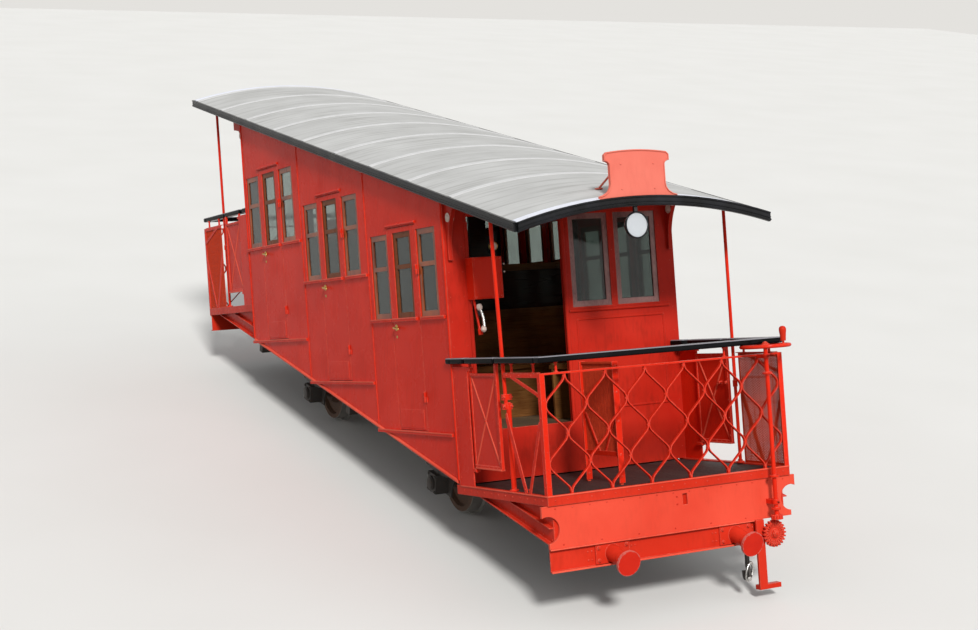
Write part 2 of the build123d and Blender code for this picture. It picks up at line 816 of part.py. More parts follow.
with BuildPart() as housings:
    for side_name, side in sides:
        base = buffer_base(side)
        with Locations(base * Plane(origin=(0, 40, 0), z_dir=(0, -1, 0)).location):
            barrel_align = (Align.CENTER, Align.CENTER, Align.MIN)
            Cone(buffer_foot_radius, buffer_barrel_radius, barrel_length + 40, align=barrel_align)
        rod(base, (0, -barrel_length + 26, 0), (0, -barrel_length, 0), buffer_barrel_radius + 9)
    inside = 400.0
    block(car, (-half_width, buffer_web, beam_low - inside), (half_width, inside, 0), Mode.SUBTRACT)
    for side_name, side in sides:
        low = (side * buffer_spread - buffer_plate_width / 2, buffer_web - buffer_plate)
        high = (side * buffer_spread + buffer_plate_width / 2, buffer_web)
        tall = buffer_plate_height / 2
        block(car, (*low, buffer_height - tall), (*high, buffer_height + tall))
save(housings, "buffer_housings")

with BuildPart() as heads:
    for side_name, side in sides:
        base = buffer_base(side)
        rod(base, (0, -barrel_length, 0), (0, -buffer_length, 0), buffer_neck_radius)
        rod(base, (0, -buffer_length, 0), (0, -buffer_length - buffer_head_thickness, 0), buffer_head_radius)
save(heads, "buffer_heads")

# Lattice railings: wavy strips on edge that touch their neighbours in turn
def rounded(points, radius, steps=3):
    """Corner points, each corner turned in a few short chords of one radius."""
    result = [points[0]]
    for before, corner, after in zip(points, points[1:], points[2:]):
        back = (Vector(*before) - Vector(*corner)).normalized()
        ahead = (Vector(*after) - Vector(*corner)).normalized()
        half = (pi - radians(back.get_angle(ahead))) / 2
        middle_way = (back + ahead).normalized()
        centre = Vector(*corner) + middle_way * (radius / cos(half))
        start = Vector(*corner) + back * (radius * tan(half)) - centre
        turn = 1 if back.X * ahead.Y - back.Y * ahead.X < 0 else -1
        for step in range(steps + 1):
            spoke = start.rotate(Axis.Z, -turn * degrees(2 * half) * step / steps * -1)
            result.append((centre.X + spoke.X, centre.Y + spoke.Y))
    result.append(points[-1])
    return result


def ribbon(points, width):
    """Outline of a flat strip of one width that follows the points."""
    edges = [[], []]
    for index, point in enumerate(points):
        before = points[max(index - 1, 0)]
        after = points[min(index + 1, len(points) - 1)]
        first = (Vector(*point) - Vector(*before)).normalized() if index else None
        second = (Vector(*after) - Vector(*point)).normalized() if index < len(points) - 1 else None
        along_way = (first + second).normalized() if first and second else (first or second)
        stretch = 1 / along_way.dot(second or first)
        for side_index, sign in enumerate((1, -1)):
            offset = sign * width / 2 * stretch
            edges[side_index].append((point[0] - along_way.Y * offset, point[1] + along_way.X * offset))
    return edges[0] + edges[1][::-1]


def lattice_face(plane, columns, pitch, top, gap_start=0.0):
    """Sketch of one lattice panel, its columns counted from the middle outwards."""
    rows = 4
    bottom_node = lattice_stem
    span = (top - 2 * lattice_stem) / rows
    swing = pitch / 2
    with BuildSketch(plane) as face:
        for column in range(columns):
            middle_x = gap_start + pitch * (column + 0.5 - columns / 2)
            for side in (-1, 1):
                near = middle_x + side * lattice_strip / 2
                far = middle_x + side * (swing - lattice_strip / 2)
                points = [(near, 0)]
                for node in range(rows + 1):
                    x = far if node % 2 else near
                    z = bottom_node + span * node
                    if node > 0:
                        points.append((x, z - lattice_bend))
                    if node < rows:
                        points.append((x, z + lattice_bend))
                points.append((near, top))
                radius = lattice_bend / tan(atan2(swing - lattice_strip, span - 2 * lattice_bend) / 2) * 0.98
                with BuildLine():
                    Polyline(*ribbon(rounded(points, radius), lattice_strip), close=True)
                make_face()
    return face.sketch


rail_low = lattice_height - lattice_rail
post_inner = half_width - corner_post
with BuildPart() as end_lattices:
    for end_name, base in ends:
        face = lattice_face(across(base, 8 + lattice_depth), lattice_columns, lattice_pitch, rail_low)
        extrude(face, amount=lattice_depth)
        block(base, (-post_inner, 4, rail_low), (post_inner, 12 + lattice_depth, lattice_height))
save(end_lattices, "end_lattices")

# Wire panels in the right-hand side of each railing, between the corner post and the roof post
side_panel_end = roof_post_station - roof_post_radius
mesh_edge = 16.0
mesh_wire = 4.0
mesh_columns = 6
mesh_rows = 9
with BuildPart() as side_lattices:
    for end_name, base in ends:
        width = side_panel_end - corner_post
        with BuildSketch(along(base, half_width - 6 - mesh_wire)) as mesh:
            with Locations((corner_post + width / 2, lattice_height / 2)):
                Rectangle(width, lattice_height)
                Rectangle(width - 2 * mesh_edge, lattice_height - 2 * mesh_edge, mode=Mode.SUBTRACT)
                for column in range(1, mesh_columns):
                    with Locations((width * (column / mesh_columns - 0.5), 0)):
                        Rectangle(mesh_wire, lattice_height)
                for row_number in range(1, mesh_rows):
                    with Locations((0, lattice_height * (row_number / mesh_rows - 0.5))):
                        Rectangle(width, mesh_wire)
        extrude(mesh.sketch, amount=mesh_wire)
save(side_lattices, "side_lattices")

with BuildPart() as corners:
    for end_name, base in ends:
        for side_name, side in sides:
            outer = between(side, half_width - corner_post_plate, half_width)
            leg = between(side, post_inner, half_width)
            block(base, (outer[0], 0, 0), (outer[1], corner_post, lattice_height))
            block(base, (leg[0], 0, 0), (leg[1], corner_post_plate / 2, lattice_height))
        strips = [
            ((side_panel_end, 560), (300, 0), 38),
            ((corner_post - 2, 510), (250, 0), 30),
            ((corner_post - 2, 700), (440, lattice_height - 15), 26),
        ]
        for side_name, side in sides:
            x = between(side, half_width - 6, half_width)
            ledge = between(side, half_width - 32, half_width - 6)
            block(base, (x[0], corner_post, lattice_height - 30), (x[1], side_panel_end, lattice_height))
            block(base, (ledge[0], corner_post, lattice_height), (ledge[1], side_panel_end, lattice_height + 6))
            with BuildSketch(along(base, x[0])) as braces:
                for start, finish, width in strips:
                    with BuildLine():
                        Polyline(*ribbon([start, finish], width), close=True)
                    make_face()
                with Locations((0, -100)):
                    Rectangle(2000, 200, mode=Mode.SUBTRACT)
                with Locations((side_panel_end + 100, 500)):
                    Rectangle(200, 1200, mode=Mode.SUBTRACT)
            extrude(braces.sketch, amount=6)
save(corners, "corner_frames")

# Roof posts, two at each platform: the left one stepped outwards at its clamp, the right one straight
post_clamp_low = 590.0
post_clamp_high = 700.0
post_step = 18.0
post_lean = 45.0
post_reference_top = 1930.0


def post_place(side, z):
    """Distance of a roof post's middle from the centre line at height z above the platform."""
    straight = half_width - 40
    if side > 0 or z < post_clamp_low:
        return side * straight
    rise = (z - post_clamp_low) / (post_reference_top - post_clamp_low)
    return side * (straight + post_step + (post_lean - post_step) * rise)


with BuildPart() as supports:
    for end_name, base in ends:
        station = roof_post_station if end_name == "front" else total_length - roof_post_station
        for side_name, side in sides:
            foot_x = post_place(side, 0)
            top = roof_underside(station, abs(foot_x)) - (0 if end_name == "front" else rear_level) + 60
            y = roof_post_station
            thin = roof_post_thin if side < 0 else roof_post_thin - 1
            split = post_clamp_high - 60 if side < 0 else top
            if side < 0:
                rod(base, (foot_x, y, 0), (foot_x, y, split), roof_post_radius)
                for low in (post_clamp_low, post_clamp_high - 42):
                    clamp = (foot_x - 48, y - 14, low), (foot_x + 26, y + 14, low + 42)
                    block(base, *clamp)
                rod(base, (post_place(side, post_clamp_low), y, post_clamp_low), (post_place(side, top), y, top), thin)
            else:
                rod(base, (foot_x, y, 0), (foot_x, y, top), thin)
                rod(base, (foot_x, y, post_clamp_low), (foot_x, y, post_clamp_low + 50), thin + 6)
            rod(base, (foot_x, y, 0), (foot_x, y, 12), roof_post_radius + 14)
    trim_to_roof(False)
save(supports, "roof_posts")

# Handrails: a black cap round each platform on short stubs, jointed at its corners
cap_low = handrail_top - handrail_thickness
gate_axis = half_width - 20
gate_cap_end = 12.0


def cap_outer(side):
    return half_width + (handrail_out_left if side < 0 else handrail_out_right)


def cap_tail_start(side):
    """Where the fixed cap starts again behind a gate, clear of the gate cap's turning corner."""
    inner = gate_axis - (cap_outer(side) - handrail_width)
    return gate_hinge_station + sqrt(inner * inner + gate_cap_end * gate_cap_end) + closing_gap


with BuildPart() as handrails:
    for end_name, base in ends:
        inner_y = handrail_width - handrail_overhang
        block(base, (-cap_outer(-1), -handrail_overhang, cap_low), (cap_outer(1), inner_y, handrail_top))
        for across_x in (-895, 530):
            rod(base, (across_x, 18, lattice_height), (across_x, 18, cap_low), stub_radius)
        for side_name, side in sides:
            x = between(side, cap_outer(side) - handrail_width, cap_outer(side))
            block(base, (x[0], inner_y + handrail_joint, cap_low), (x[1], gate_start - 40, handrail_top))
            block(base, (x[0], cap_tail_start(side), cap_low), (x[1], platform_length, handrail_top))
            for station in (120, 440):
                stub_x = side * (half_width - 22)
                rod(base, (stub_x, station, lattice_height + 6), (stub_x, station, cap_low), stub_radius)
            thin = roof_post_thin + 2
            with Locations(base * Location((post_place(side, handrail_top), roof_post_station, handrail_top))):
                Cylinder(thin, 4 * handrail_thickness, mode=Mode.SUBTRACT)
        tail_x = between(-1, half_width, cap_outer(-1))
        block(base, (tail_x[0], platform_length, cap_low), (tail_x[1], platform_length + 75, handrail_top))
save(handrails, "handrails")

# Gates: one on each side of each platform, hung near the bulkhead and opening inwards
gate_bar_radius = 11.0
gate_lug = 24.0
gate_lug_gap = 8.0
gate_lug_half = 18.0
for end_name, base in ends:
    for side_name, side in sides:
        across_way = side if end_name == "front" else -side
        name = f"{end_name}_gate_{'left' if across_way < 0 else 'right'}"
        with BuildPart() as gate:
            x = between(side, gate_axis - gate_sheet / 2, gate_axis + gate_sheet / 2)
            block(base, (x[0], gate_start, gate_bottom), (x[1], gate_hinge_station - 4, gate_top))
            bar = between(side, gate_axis - 12, gate_axis + 12)
            block(base, (bar[0], gate_start, gate_bottom), (bar[1], gate_start + gate_frame, cap_low))
            block(base, (bar[0], gate_start, gate_bottom), (bar[1], gate_hinge_station, gate_bottom + 22))
            block(base, (bar[0], gate_start, gate_top - 22), (bar[1], gate_hinge_station, gate_top))
            pin_x = side * gate_axis
            pin_low = gate_bottom - 2 * gate_lug_gap - gate_lug
            rod(base, (pin_x, gate_hinge_station, pin_low), (pin_x, gate_hinge_station, cap_low), gate_bar_radius)
            outer = between(side, cap_outer(side) - handrail_width, cap_outer(side))
            cap_end = gate_hinge_station + gate_cap_end
            block(base, (outer[0], gate_start - 20, cap_low), (outer[1], cap_end, handrail_top))
            with BuildSketch(along(base, x[0] - 3)) as cross:
                near = gate_start + 20
                far = gate_hinge_station - 15
                for first_z, last_z in ((gate_bottom + 15, gate_top - 15), (gate_top - 15, gate_bottom + 15)):
                    with BuildLine():
                        Polyline(*ribbon([(near, first_z), (far, last_z)], gate_strap), close=True)
                    make_face()
            extrude(cross.sketch, amount=gate_sheet + 6)
        save(gate, name)

# Hinge brackets: bored lugs for the gates' bars and leaves with pins for the side doors
lug_lows = (gate_bottom - gate_lug_gap - gate_lug, gate_top + gate_lug_gap + 12)
with BuildPart() as brackets:
    for end_name, base in ends:
        for side_name, side in sides:
            x = side * gate_axis
            for low in lug_lows:
                near = (x - gate_lug_half, gate_hinge_station - gate_lug_half, low)
                block(base, near, (x + gate_lug_half, gate_plate_start + 30, low + gate_lug))
                with Locations(base * Location((x, gate_hinge_station, low + gate_lug / 2))):
                    Cylinder(gate_bar_radius + journal_clearance, gate_lug + 2, mode=Mode.SUBTRACT)
            plate_x = between(side, half_width - 10, half_width - 2)
            block(base, (plate_x[0], gate_plate_start, 0), (plate_x[1], platform_length, gate_plate_top))
    for side_name, side in sides:
        leaf_x = between(side, half_width, half_width + door_hinge_out)
        for number in range(compartments):
            pin_x, pin_y = door_pin(side, number)
            for base_z in hinge_heights:
                low = floor_level(number) + base_z
                high = low + hinge_height
                block(car, (leaf_x[0], pin_y - hinge_leaf, low), (leaf_x[1], pin_y, high))
                rod(car, (pin_x, pin_y, low), (pin_x, pin_y, high), hinge_radius)
                rod(car, (pin_x, pin_y, high), (pin_x, pin_y, high + hinge_height), hinge_pin_radius)
save(brackets, "hinge_brackets")

# Divider on each platform: a low railing that keeps the driver's side clear
divider_across = -300.0
with BuildPart() as dividers:
    for end_name, base in ends:
        x = divider_across
        for station in (220, 680):
            block(base, (x - 12, station - 12, -deck_drop), (x + 12, station + 12, 880))
        block(base, (x - 12, 232, 866), (x + 12, 668, 880))
        block(base, (x - 6, 232, 200), (x + 6, 668, 222))
        for wire in range(1, 9):
            station = 232 + 436 / 9 * wire
            block(base, (x - 3, station - 3, 222), (x + 3, station + 3, 866))
save(dividers, "platform_dividers")

# Hand brake: upright shaft in two brackets, wheel with knob, pinion and toothed wheel below
shaft_x = brake_column_across
shaft_y = brake_column_ahead
pinion_z = brake_gear_height + brake_gear_radius + 8
with BuildPart() as column:
    rod(car, (shaft_x, shaft_y, pinion_z), (shaft_x, shaft_y, brake_wheel_height), brake_column_radius)
    for z in (-300, -60, 700):
        rod(car, (shaft_x, shaft_y, z), (shaft_x, shaft_y, z + 16), brake_column_radius + 21)
    with BuildSketch(level(car * Location((shaft_x, shaft_y, 0)), pinion_z)) as pinion:
        Circle(brake_pinion_radius - 9)
        with PolarLocations(brake_pinion_radius - 9, brake_pinion_teeth):
            Rectangle(18, 12)
    extrude(pinion.sketch, amount=34)
save(column, "hand_brake_shaft")

collar = brake_column_radius + 12
brake_bearing_start = beam_depth + 5
with BuildPart() as brackets:
    for low, high, back in ((820, 850, 4), (-260, -225, fascia_set_back)):
        rod(car, (shaft_x, shaft_y, low), (shaft_x, shaft_y, high), collar)
        block(car, (shaft_x - 20, shaft_y, low), (shaft_x + 20, back, high))
        with Locations(car * Location((shaft_x, shaft_y, (low + high) / 2))):
            Cylinder(brake_column_radius, 60, mode=Mode.SUBTRACT)
    bearing_x = sole_bar_inner + sole_bar_flange
    start = brake_bearing_start
    block(car, (bearing_x, start, brake_gear_height - 42), (shaft_x + 40, start + 40, brake_gear_height + 42))
save(brackets, "hand_brake_brackets")

brake_wheel_reach = brake_wheel_radius - brake_wheel_rim
upright = Location((0, 0, 0))
with BuildPart() as flat_wheel:
    with BuildSketch(Plane.XZ) as rim:
        with Locations((brake_wheel_reach, 0)):
            RegularPolygon(brake_wheel_rim, 12)
    revolve(axis=Axis.Z)
    Cylinder(34, 30)
    for spoke in range(4):
        turn = radians(brake_knob_turn + 90 * spoke)
        rod(upright, (0, 0, 0), (brake_wheel_reach * cos(turn), brake_wheel_reach * sin(turn), 0), 9)
    knob_x = brake_wheel_reach * cos(radians(brake_knob_turn))
    knob_y = brake_wheel_reach * sin(radians(brake_knob_turn))
    rod(upright, (knob_x, knob_y, 2), (knob_x, knob_y, 40), 8)
    rod(upright, (knob_x, knob_y, 36), (knob_x, knob_y, 125), 20)
with BuildPart() as brake_wheel:
    add(flat_wheel.part.moved(car * Location((shaft_x, shaft_y, brake_wheel_height + 15))))
save(brake_wheel, "hand_brake_wheel")

gear_y = shaft_y + brake_gear_out
gear_thick = 26.0
gear_root = brake_gear_radius - 15
with BuildPart() as gear:
    base = car * Location((shaft_x, gear_y, brake_gear_height))
    with BuildSketch(across(base, gear_thick)) as teeth:
        Circle(gear_root)
        tooth = 2 * pi * gear_root / brake_gear_teeth * 0.52
        with PolarLocations(gear_root, brake_gear_teeth):
            Rectangle(30, tooth)
    extrude(teeth.sketch, amount=gear_thick)
    with BuildSketch(across(base, 8)) as recess:
        Circle(gear_root - 14)
        Circle(34, mode=Mode.SUBTRACT)
    extrude(recess.sketch, amount=8, mode=Mode.SUBTRACT)
    rod(base, (0, gear_thick, 0), (0, brake_bearing_start - gear_y, 0), 32)
save(gear, "hand_brake_gear")

# Guard bracket that hangs from the beam end, with its foot turned outwards
with BuildPart() as guard:
    low_x = beam_right_end - 70
    face = beam_plate
    block(car, (low_x, face - 20, -870), (beam_right_end, face, beam_top))
    block(car, (low_x, face - 20, -885), (low_x + 190, face + 40, -850))
save(guard, "guard_bracket")

# Coupling hook under the beam
with BuildPart() as hook:
    with BuildSketch(along(car, 618)) as shape:
        with BuildLine():
            Polyline(*ribbon(rounded([(45, beam_low), (45, -700), (20, -790), (85, -800), (92, -740)], 18), 26), close=True)
        make_face()
    extrude(shape.sketch, amount=24)
save(hook, "coupling_hook")

# Headlamp hung below the front edge of the roof
lamp_x = -60.0
lamp_y = 150.0
lamp_z = 1854.0
lamp_radius = 95.0
lamp_rim = 14.0
lamp_bowl = 86.0
lamp_sheet = 6.0
with BuildPart() as bowl:
    with BuildSketch(Plane.XZ) as profile:
        inner_radius = lamp_radius - lamp_sheet
        inner_depth = lamp_bowl - lamp_sheet
        with BuildLine():
            Line((lamp_radius, 0), (lamp_radius, lamp_rim))
            ThreePointArc((lamp_radius, lamp_rim), (lamp_radius * 0.72, lamp_bowl * 0.72), (0, lamp_bowl))
            Line((0, lamp_bowl), (0, inner_depth))
            ThreePointArc((0, inner_depth), (inner_radius * 0.72, inner_depth * 0.72), (inner_radius, lamp_rim))
            Line((inner_radius, lamp_rim), (inner_radius, 0))
            Line((inner_radius, 0), (lamp_radius, 0))
        make_face()
    revolve(axis=Axis.Z)
with BuildPart() as lamp:
    add(bowl.part.moved(car * Location((lamp_x, lamp_y, lamp_z), (-90, 0, 0))))
    top = roof_crown - roof_thickness + (lamp_y - roof_set_back) * grade - crown_drop(abs(lamp_x) + 20)
    block(car, (lamp_x - 14, lamp_y + 2, lamp_z + lamp_radius - 4), (lamp_x + 14, lamp_y + 26, top + 40))
    trim_to_roof(False)
save(lamp, "headlamp_shell")

with BuildPart() as lens:
    rod(car, (lamp_x, lamp_y + 3, lamp_z), (lamp_x, lamp_y + 8, lamp_z), lamp_radius - lamp_sheet)
save(lens, "headlamp_glass")

# Number board on the roof edge, left blank, with its waisted outline
board_x = -58.0
board_foot = 333.0
board_waist = 235.0
board_ear = 276.0
board_crown = 335.0
with BuildPart() as board:
    with BuildSketch(across(car, roof_set_back + 20)) as shape:
        with BuildLine():
            for side_name, side in sides:
                foot = (board_x + side * board_foot, roof_crown - 60)
                knee = (board_x + side * board_foot, roof_crown)
                waist = (board_x + side * board_waist, roof_crown + 96)
                bend = (board_x + side * (board_waist + 26), roof_crown + 36)
                neck = (board_x + side * board_waist, roof_crown + 233)
                cheek = (board_x + side * (board_waist + 12), roof_crown + 252)
                ear = (board_x + side * board_ear, roof_crown + 262)
                ear_top = (board_x + side * board_ear, roof_crown + 300)
                corner = (board_x + side * 255, roof_crown + 318)
                Line(foot, knee)
                ThreePointArc(knee, bend, waist)
                Line(waist, neck)
                ThreePointArc(neck, cheek, ear)
                Line(ear, ear_top)
                Line(ear_top, corner)
            top = roof_crown + board_crown
            ThreePointArc((board_x - 255, roof_crown + 318), (board_x, top), (board_x + 255, roof_crown + 318))
            Line((board_x - board_foot, roof_crown - 60), (board_x + board_foot, roof_crown - 60))
        make_face()
    extrude(shape.sketch, amount=20)
    trim_to_roof(True)
save(board, "roof_board")

# Roof brackets: shaped knees between each bulkhead and the roof over the platform
roof_bracket_across = 985.0
roof_bracket_thickness = 34.0
roof_bracket_reach = 240.0
with BuildPart() as knees:
    for end_name, base in ends:
        station = platform_length if end_name == "front" else rear_station
        roof_z = roof_underside(station) - (0 if end_name == "front" else rear_level)
        drop = 500.0 if end_name == "front" else 360.0
        for side_name, side in sides:
            x = between(side, roof_bracket_across, roof_bracket_across + roof_bracket_thickness)
            foot = platform_length - 30
            tip = platform_length - roof_bracket_reach
            with BuildSketch(along(base, x[0])) as knee:
                with BuildLine():
                    Line((platform_length, roof_z + 200), (platform_length, roof_z - drop))
                    Line((platform_length, roof_z - drop), (foot, roof_z - drop))
                    low_bend = (foot - 20, roof_z - drop * 0.55)
                    ThreePointArc((foot, roof_z - drop), low_bend, (foot - 75, roof_z - drop * 0.32))
                    ThreePointArc((foot - 75, roof_z - drop * 0.32), (foot - 120, roof_z - 105), (tip, roof_z - 90))
                    Line((tip, roof_z - 90), (tip, roof_z + 200))
                    Line((tip, roof_z + 200), (platform_length, roof_z + 200))
                make_face()
            extrude(knee.sketch, amount=roof_bracket_thickness)
    trim_to_roof(False)
save(knees, "roof_brackets")

# Driver's controls beside the doorway of the front bulkhead
with BuildPart() as controls:
    face = platform_length
    block(car, (-870, face - 120, 1400), (-620, face, 1720))
    rod(car, (-850, face - 60, 1402), (-850, face - 130, 1160), 9)
    rod(car, (-850, face - 130, 1175), (-850, face - 142, 1130), 18)
save(controls, "control_cabinet")

# Drawbar for the rope at the uphill end, bored for the rope socket's pin
drawbar_height = sole_top - sole_bar_height / 2 - 35
drawbar_pin_radius = 25.0
drawbar_pin_reach = 150.0
drawbar_foot = total_length - beam_depth + beam_plate
foot_z = (drawbar_height - body_origin_height + drawbar_foot * tilt_sin) / tilt_cos
drawbar_row = drawbar_foot * tilt_cos + foot_z * tilt_sin
with BuildPart() as drawbar:
    end_y = drawbar_row + drawbar_pin_reach + 50
    block(row, (-45, drawbar_row - 60, drawbar_height - 30), (45, end_y, drawbar_height + 30))
    with Locations(row * Location((0, drawbar_row + drawbar_pin_reach, drawbar_height))):
        Cylinder(drawbar_pin_radius, 80, mode=Mode.SUBTRACT)
    far = 300.0
    block(car, (-100, drawbar_foot - far, foot_z - far), (100, drawbar_foot, foot_z + far), Mode.SUBTRACT)
    block(car, (-70, drawbar_foot, foot_z - 42), (70, drawbar_foot + 12, foot_z + 42))
save(drawbar, "rope_drawbar")
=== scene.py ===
import math

import bmesh
import bpy
from mathutils import Matrix, Vector


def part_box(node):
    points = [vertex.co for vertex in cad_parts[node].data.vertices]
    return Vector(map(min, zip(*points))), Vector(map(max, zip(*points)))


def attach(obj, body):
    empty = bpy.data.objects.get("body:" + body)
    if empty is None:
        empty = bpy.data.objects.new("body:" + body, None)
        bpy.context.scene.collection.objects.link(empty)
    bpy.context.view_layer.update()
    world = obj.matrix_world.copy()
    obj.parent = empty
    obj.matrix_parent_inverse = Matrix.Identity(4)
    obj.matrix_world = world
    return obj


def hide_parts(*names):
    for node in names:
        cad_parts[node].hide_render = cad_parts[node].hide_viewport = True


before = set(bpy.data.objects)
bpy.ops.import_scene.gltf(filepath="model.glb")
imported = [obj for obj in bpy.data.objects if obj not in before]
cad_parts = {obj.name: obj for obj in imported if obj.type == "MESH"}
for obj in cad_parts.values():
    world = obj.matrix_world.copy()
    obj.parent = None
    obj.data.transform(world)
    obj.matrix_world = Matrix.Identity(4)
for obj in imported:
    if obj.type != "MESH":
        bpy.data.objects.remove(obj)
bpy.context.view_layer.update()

# Camera: a 61.5 mm lens at eye height, ten metres off beside the lower end of the car, turned 27.6 degrees from the
# line and rolled 4 degrees to the left. It is set out, like every piece, in the car's own level frame, in metres
# from the middle of the platform floor's downhill edge. The wheels stand on the level, so LEAN tips it all back.
SLOPE = math.radians(15)
LEAN = Matrix.Translation((0, -3.73079, 0.949)) @ Matrix.Rotation(-SLOPE, 4, "X")
YAW, TILT, ROLL = math.radians(-27.6), math.radians(0.11), math.radians(-3.97)
EYE = (-6.652, -10.052, 1.3)
PLATE_WIDE, LENS_SHARE = 36, 1670 / 978
back = Vector((math.sin(YAW) * math.cos(TILT), -math.cos(YAW) * math.cos(TILT), math.sin(TILT)))
right = Vector((math.cos(YAW), math.sin(YAW), 0))
up = back.cross(right)
rolled_right = math.cos(ROLL) * right + math.sin(ROLL) * up
rolled_up = -math.sin(ROLL) * right + math.cos(ROLL) * up
eye = bpy.data.cameras.new("lower_end_camera")
eye.lens = PLATE_WIDE * LENS_SHARE
eye.sensor_width = PLATE_WIDE
eye.clip_end = 400
camera = bpy.data.objects.new("lower_end_camera", eye)
turn = Matrix((rolled_right, rolled_up, back)).transposed().to_4x4()
camera.matrix_world = LEAN @ Matrix.Translation(EYE) @ turn
bpy.context.scene.collection.objects.link(camera)
bpy.context.scene.camera = camera


# Studio: a pale painted floor and a white surround, one lamp high in front for the sunlit end and a weak broad
# one low on the right, so that the shaded side keeps its drawing.
def colour(code):
    """An sRGB hex value as linear light, with full cover."""
    parts = [int(code[i:i + 2], 16) / 255 for i in (1, 3, 5)]
    return (*[p / 12.92 if p <= 0.04045 else ((p + 0.055) / 1.055) ** 2.4 for p in parts], 1.0)


def fill(node, sockets):
    """Fills a node's sockets: a node or a socket is linked, a hex value becomes a colour, and the rest is set."""
    for socket, value in sockets.items():
        if isinstance(value, bpy.types.Node):
            value = next(output for output in value.outputs if output.enabled)
        if isinstance(value, bpy.types.NodeSocket):
            node.id_data.links.new(value, node.inputs[socket])
        else:
            node.inputs[socket].default_value = colour(value) if isinstance(value, str) else value


def add_node(tree, kind, sockets=None, **settings):
    """Adds one node, gives it its settings, and fills its sockets, which go by name or by place."""
    made = tree.nodes.new("ShaderNode" + kind)
    for key, value in settings.items():
        setattr(made, key, value)
    fill(made, sockets or {})
    return made


floor_mesh = bpy.data.meshes.new("studio_floor")
REACH = 60
corners = [(x * REACH, y * REACH, 0) for x, y in ((-1, -1), (1, -1), (1, 1), (-1, 1))]
floor_mesh.from_pydata(corners, [], [(0, 1, 2, 3)])
floor = bpy.data.objects.new("studio_floor", floor_mesh)
bpy.context.scene.collection.objects.link(floor)
floor_paint = bpy.data.materials.new("pale_studio_floor")
floor_paint.use_nodes = True
tree = floor_paint.node_tree
shader = tree.nodes["Principled BSDF"]
place = add_node(tree, "TexCoord")
cloudy = add_node(tree, "TexNoise", {"Vector": place.outputs["Object"], "Scale": 0.5, "Detail": 2.0})
pale = add_node(tree, "Mix", {0: cloudy, 6: "#d3d1cc", 7: "#dbd9d5"}, data_type="RGBA")
# The floor is pale to the eye, and throws back little light, so that the undersides stay dark as over ballast.
rays = add_node(tree, "LightPath")
thrown = add_node(tree, "Mix", {0: rays.outputs["Is Diffuse Ray"], 6: pale, 7: "#8b8983"}, data_type="RGBA")
fill(shader, {"Base Color": thrown, "Roughness": 0.85})
floor_mesh.materials.append(floor_paint)

surround = bpy.data.worlds.new("studio_surround")
bpy.context.scene.world = surround
surround.use_nodes = True
tree = surround.node_tree
fill(tree.nodes["Background"], {"Color": "#eef2f6", "Strength": 0.56})
rays = add_node(tree, "LightPath")
# The eye, mirrors and glass see a warm white, and the pieces are lit by a cooler sky.
seen = rays.outputs["Is Camera Ray"]
for ray in ("Is Glossy Ray", "Is Transmission Ray"):
    seen = add_node(tree, "Math", {0: seen, 1: rays.outputs[ray]}, operation="MAXIMUM")
white = add_node(tree, "Background", {"Color": "#e4e2de", "Strength": 1.0})
both = add_node(tree, "MixShader", {0: seen, 1: tree.nodes["Background"].outputs[0], 2: white})
fill(tree.nodes["World Output"], {"Surface": both})

# Each lamp's strength, and in degrees its spread, how far it leans from the upright, and its bearing.
LAMPS = {"high_front_lamp": (3.2, 10, 47, -18), "low_right_lamp": (0.4, 50, 62, 50)}
for name, (power, spread, height, bearing) in LAMPS.items():
    lamp = bpy.data.lights.new(name, "SUN")
    lamp.energy = power
    lamp.angle = math.radians(spread)
    lamp_stand = bpy.data.objects.new(name, lamp)
    lamp_stand.rotation_euler = (math.radians(height), 0, math.radians(bearing))
    bpy.context.scene.collection.objects.link(lamp_stand)
bpy.context.scene.view_settings.view_transform = "Standard"

# Wheelsets: steel tyres shrunk on cast disc wheels that are pressed on a forged axle. The treads and flanges are
# rolled bright by the rail, and the rest is brown with rust and brake dust.
AXLE_HEIGHT = 0.297
TREAD_INSIDE, TREAD_FULL = 0.262, 0.268
AXLES = {name: sum(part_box(name)[i][1] for i in (0, 1)) / 2 for name in ("front_wheelset", "rear_wheelset")}


def start_finish(name):
    """A new material with its shader and the place of each point in metres."""
    material = bpy.data.materials.new(name)
    material.use_nodes = True
    tree = material.node_tree
    return material, tree, tree.nodes["Principled BSDF"], add_node(tree, "TexCoord").outputs["Object"]


def dress(material, *names):
    """Gives solids of the frame their finish."""
    for name in names:
        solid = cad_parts[name]
        solid.data.materials.clear()
        solid.data.materials.append(material)


def wheel_finish(name, station):
    """Rolled-bright tread steel that turns to rust brown towards the hub: shiny ring, dull disc."""
    material, tree, shader, place = start_finish(name)
    centred = add_node(tree, "VectorMath", {0: place, 1: (0, -station, -AXLE_HEIGHT)}, operation="ADD")
    flat = add_node(tree, "VectorMath", {0: centred, 1: (0, 1, 1)}, operation="MULTIPLY")
    radius = add_node(tree, "VectorMath", {0: flat}, operation="LENGTH")
    ring = add_node(tree, "MapRange", {0: radius, 1: TREAD_INSIDE, 2: TREAD_FULL, 3: 0.0, 4: 1.0})
    rust = add_node(tree, "TexNoise", {"Vector": place, "Scale": 1 / 0.03, "Detail": 5.0})
    ramp = add_node(tree, "Mix", {0: rust, 6: "#3a2b22", 7: "#6b4a33"}, data_type="RGBA")
    bright = add_node(tree, "Mix", {0: ring, 6: ramp, 7: "#a9a59f"}, data_type="RGBA")
    rough = add_node(tree, "MapRange", {0: ring, 1: 0.0, 2: 1.0, 3: 0.72, 4: 0.28})
    grain = add_node(tree, "Bump", {"Height": rust, "Strength": 0.25, "Distance": 0.002})
    fill(shader, {"Base Color": bright, "Metallic": ring, "Roughness": rough, "Normal": grain})
    return material


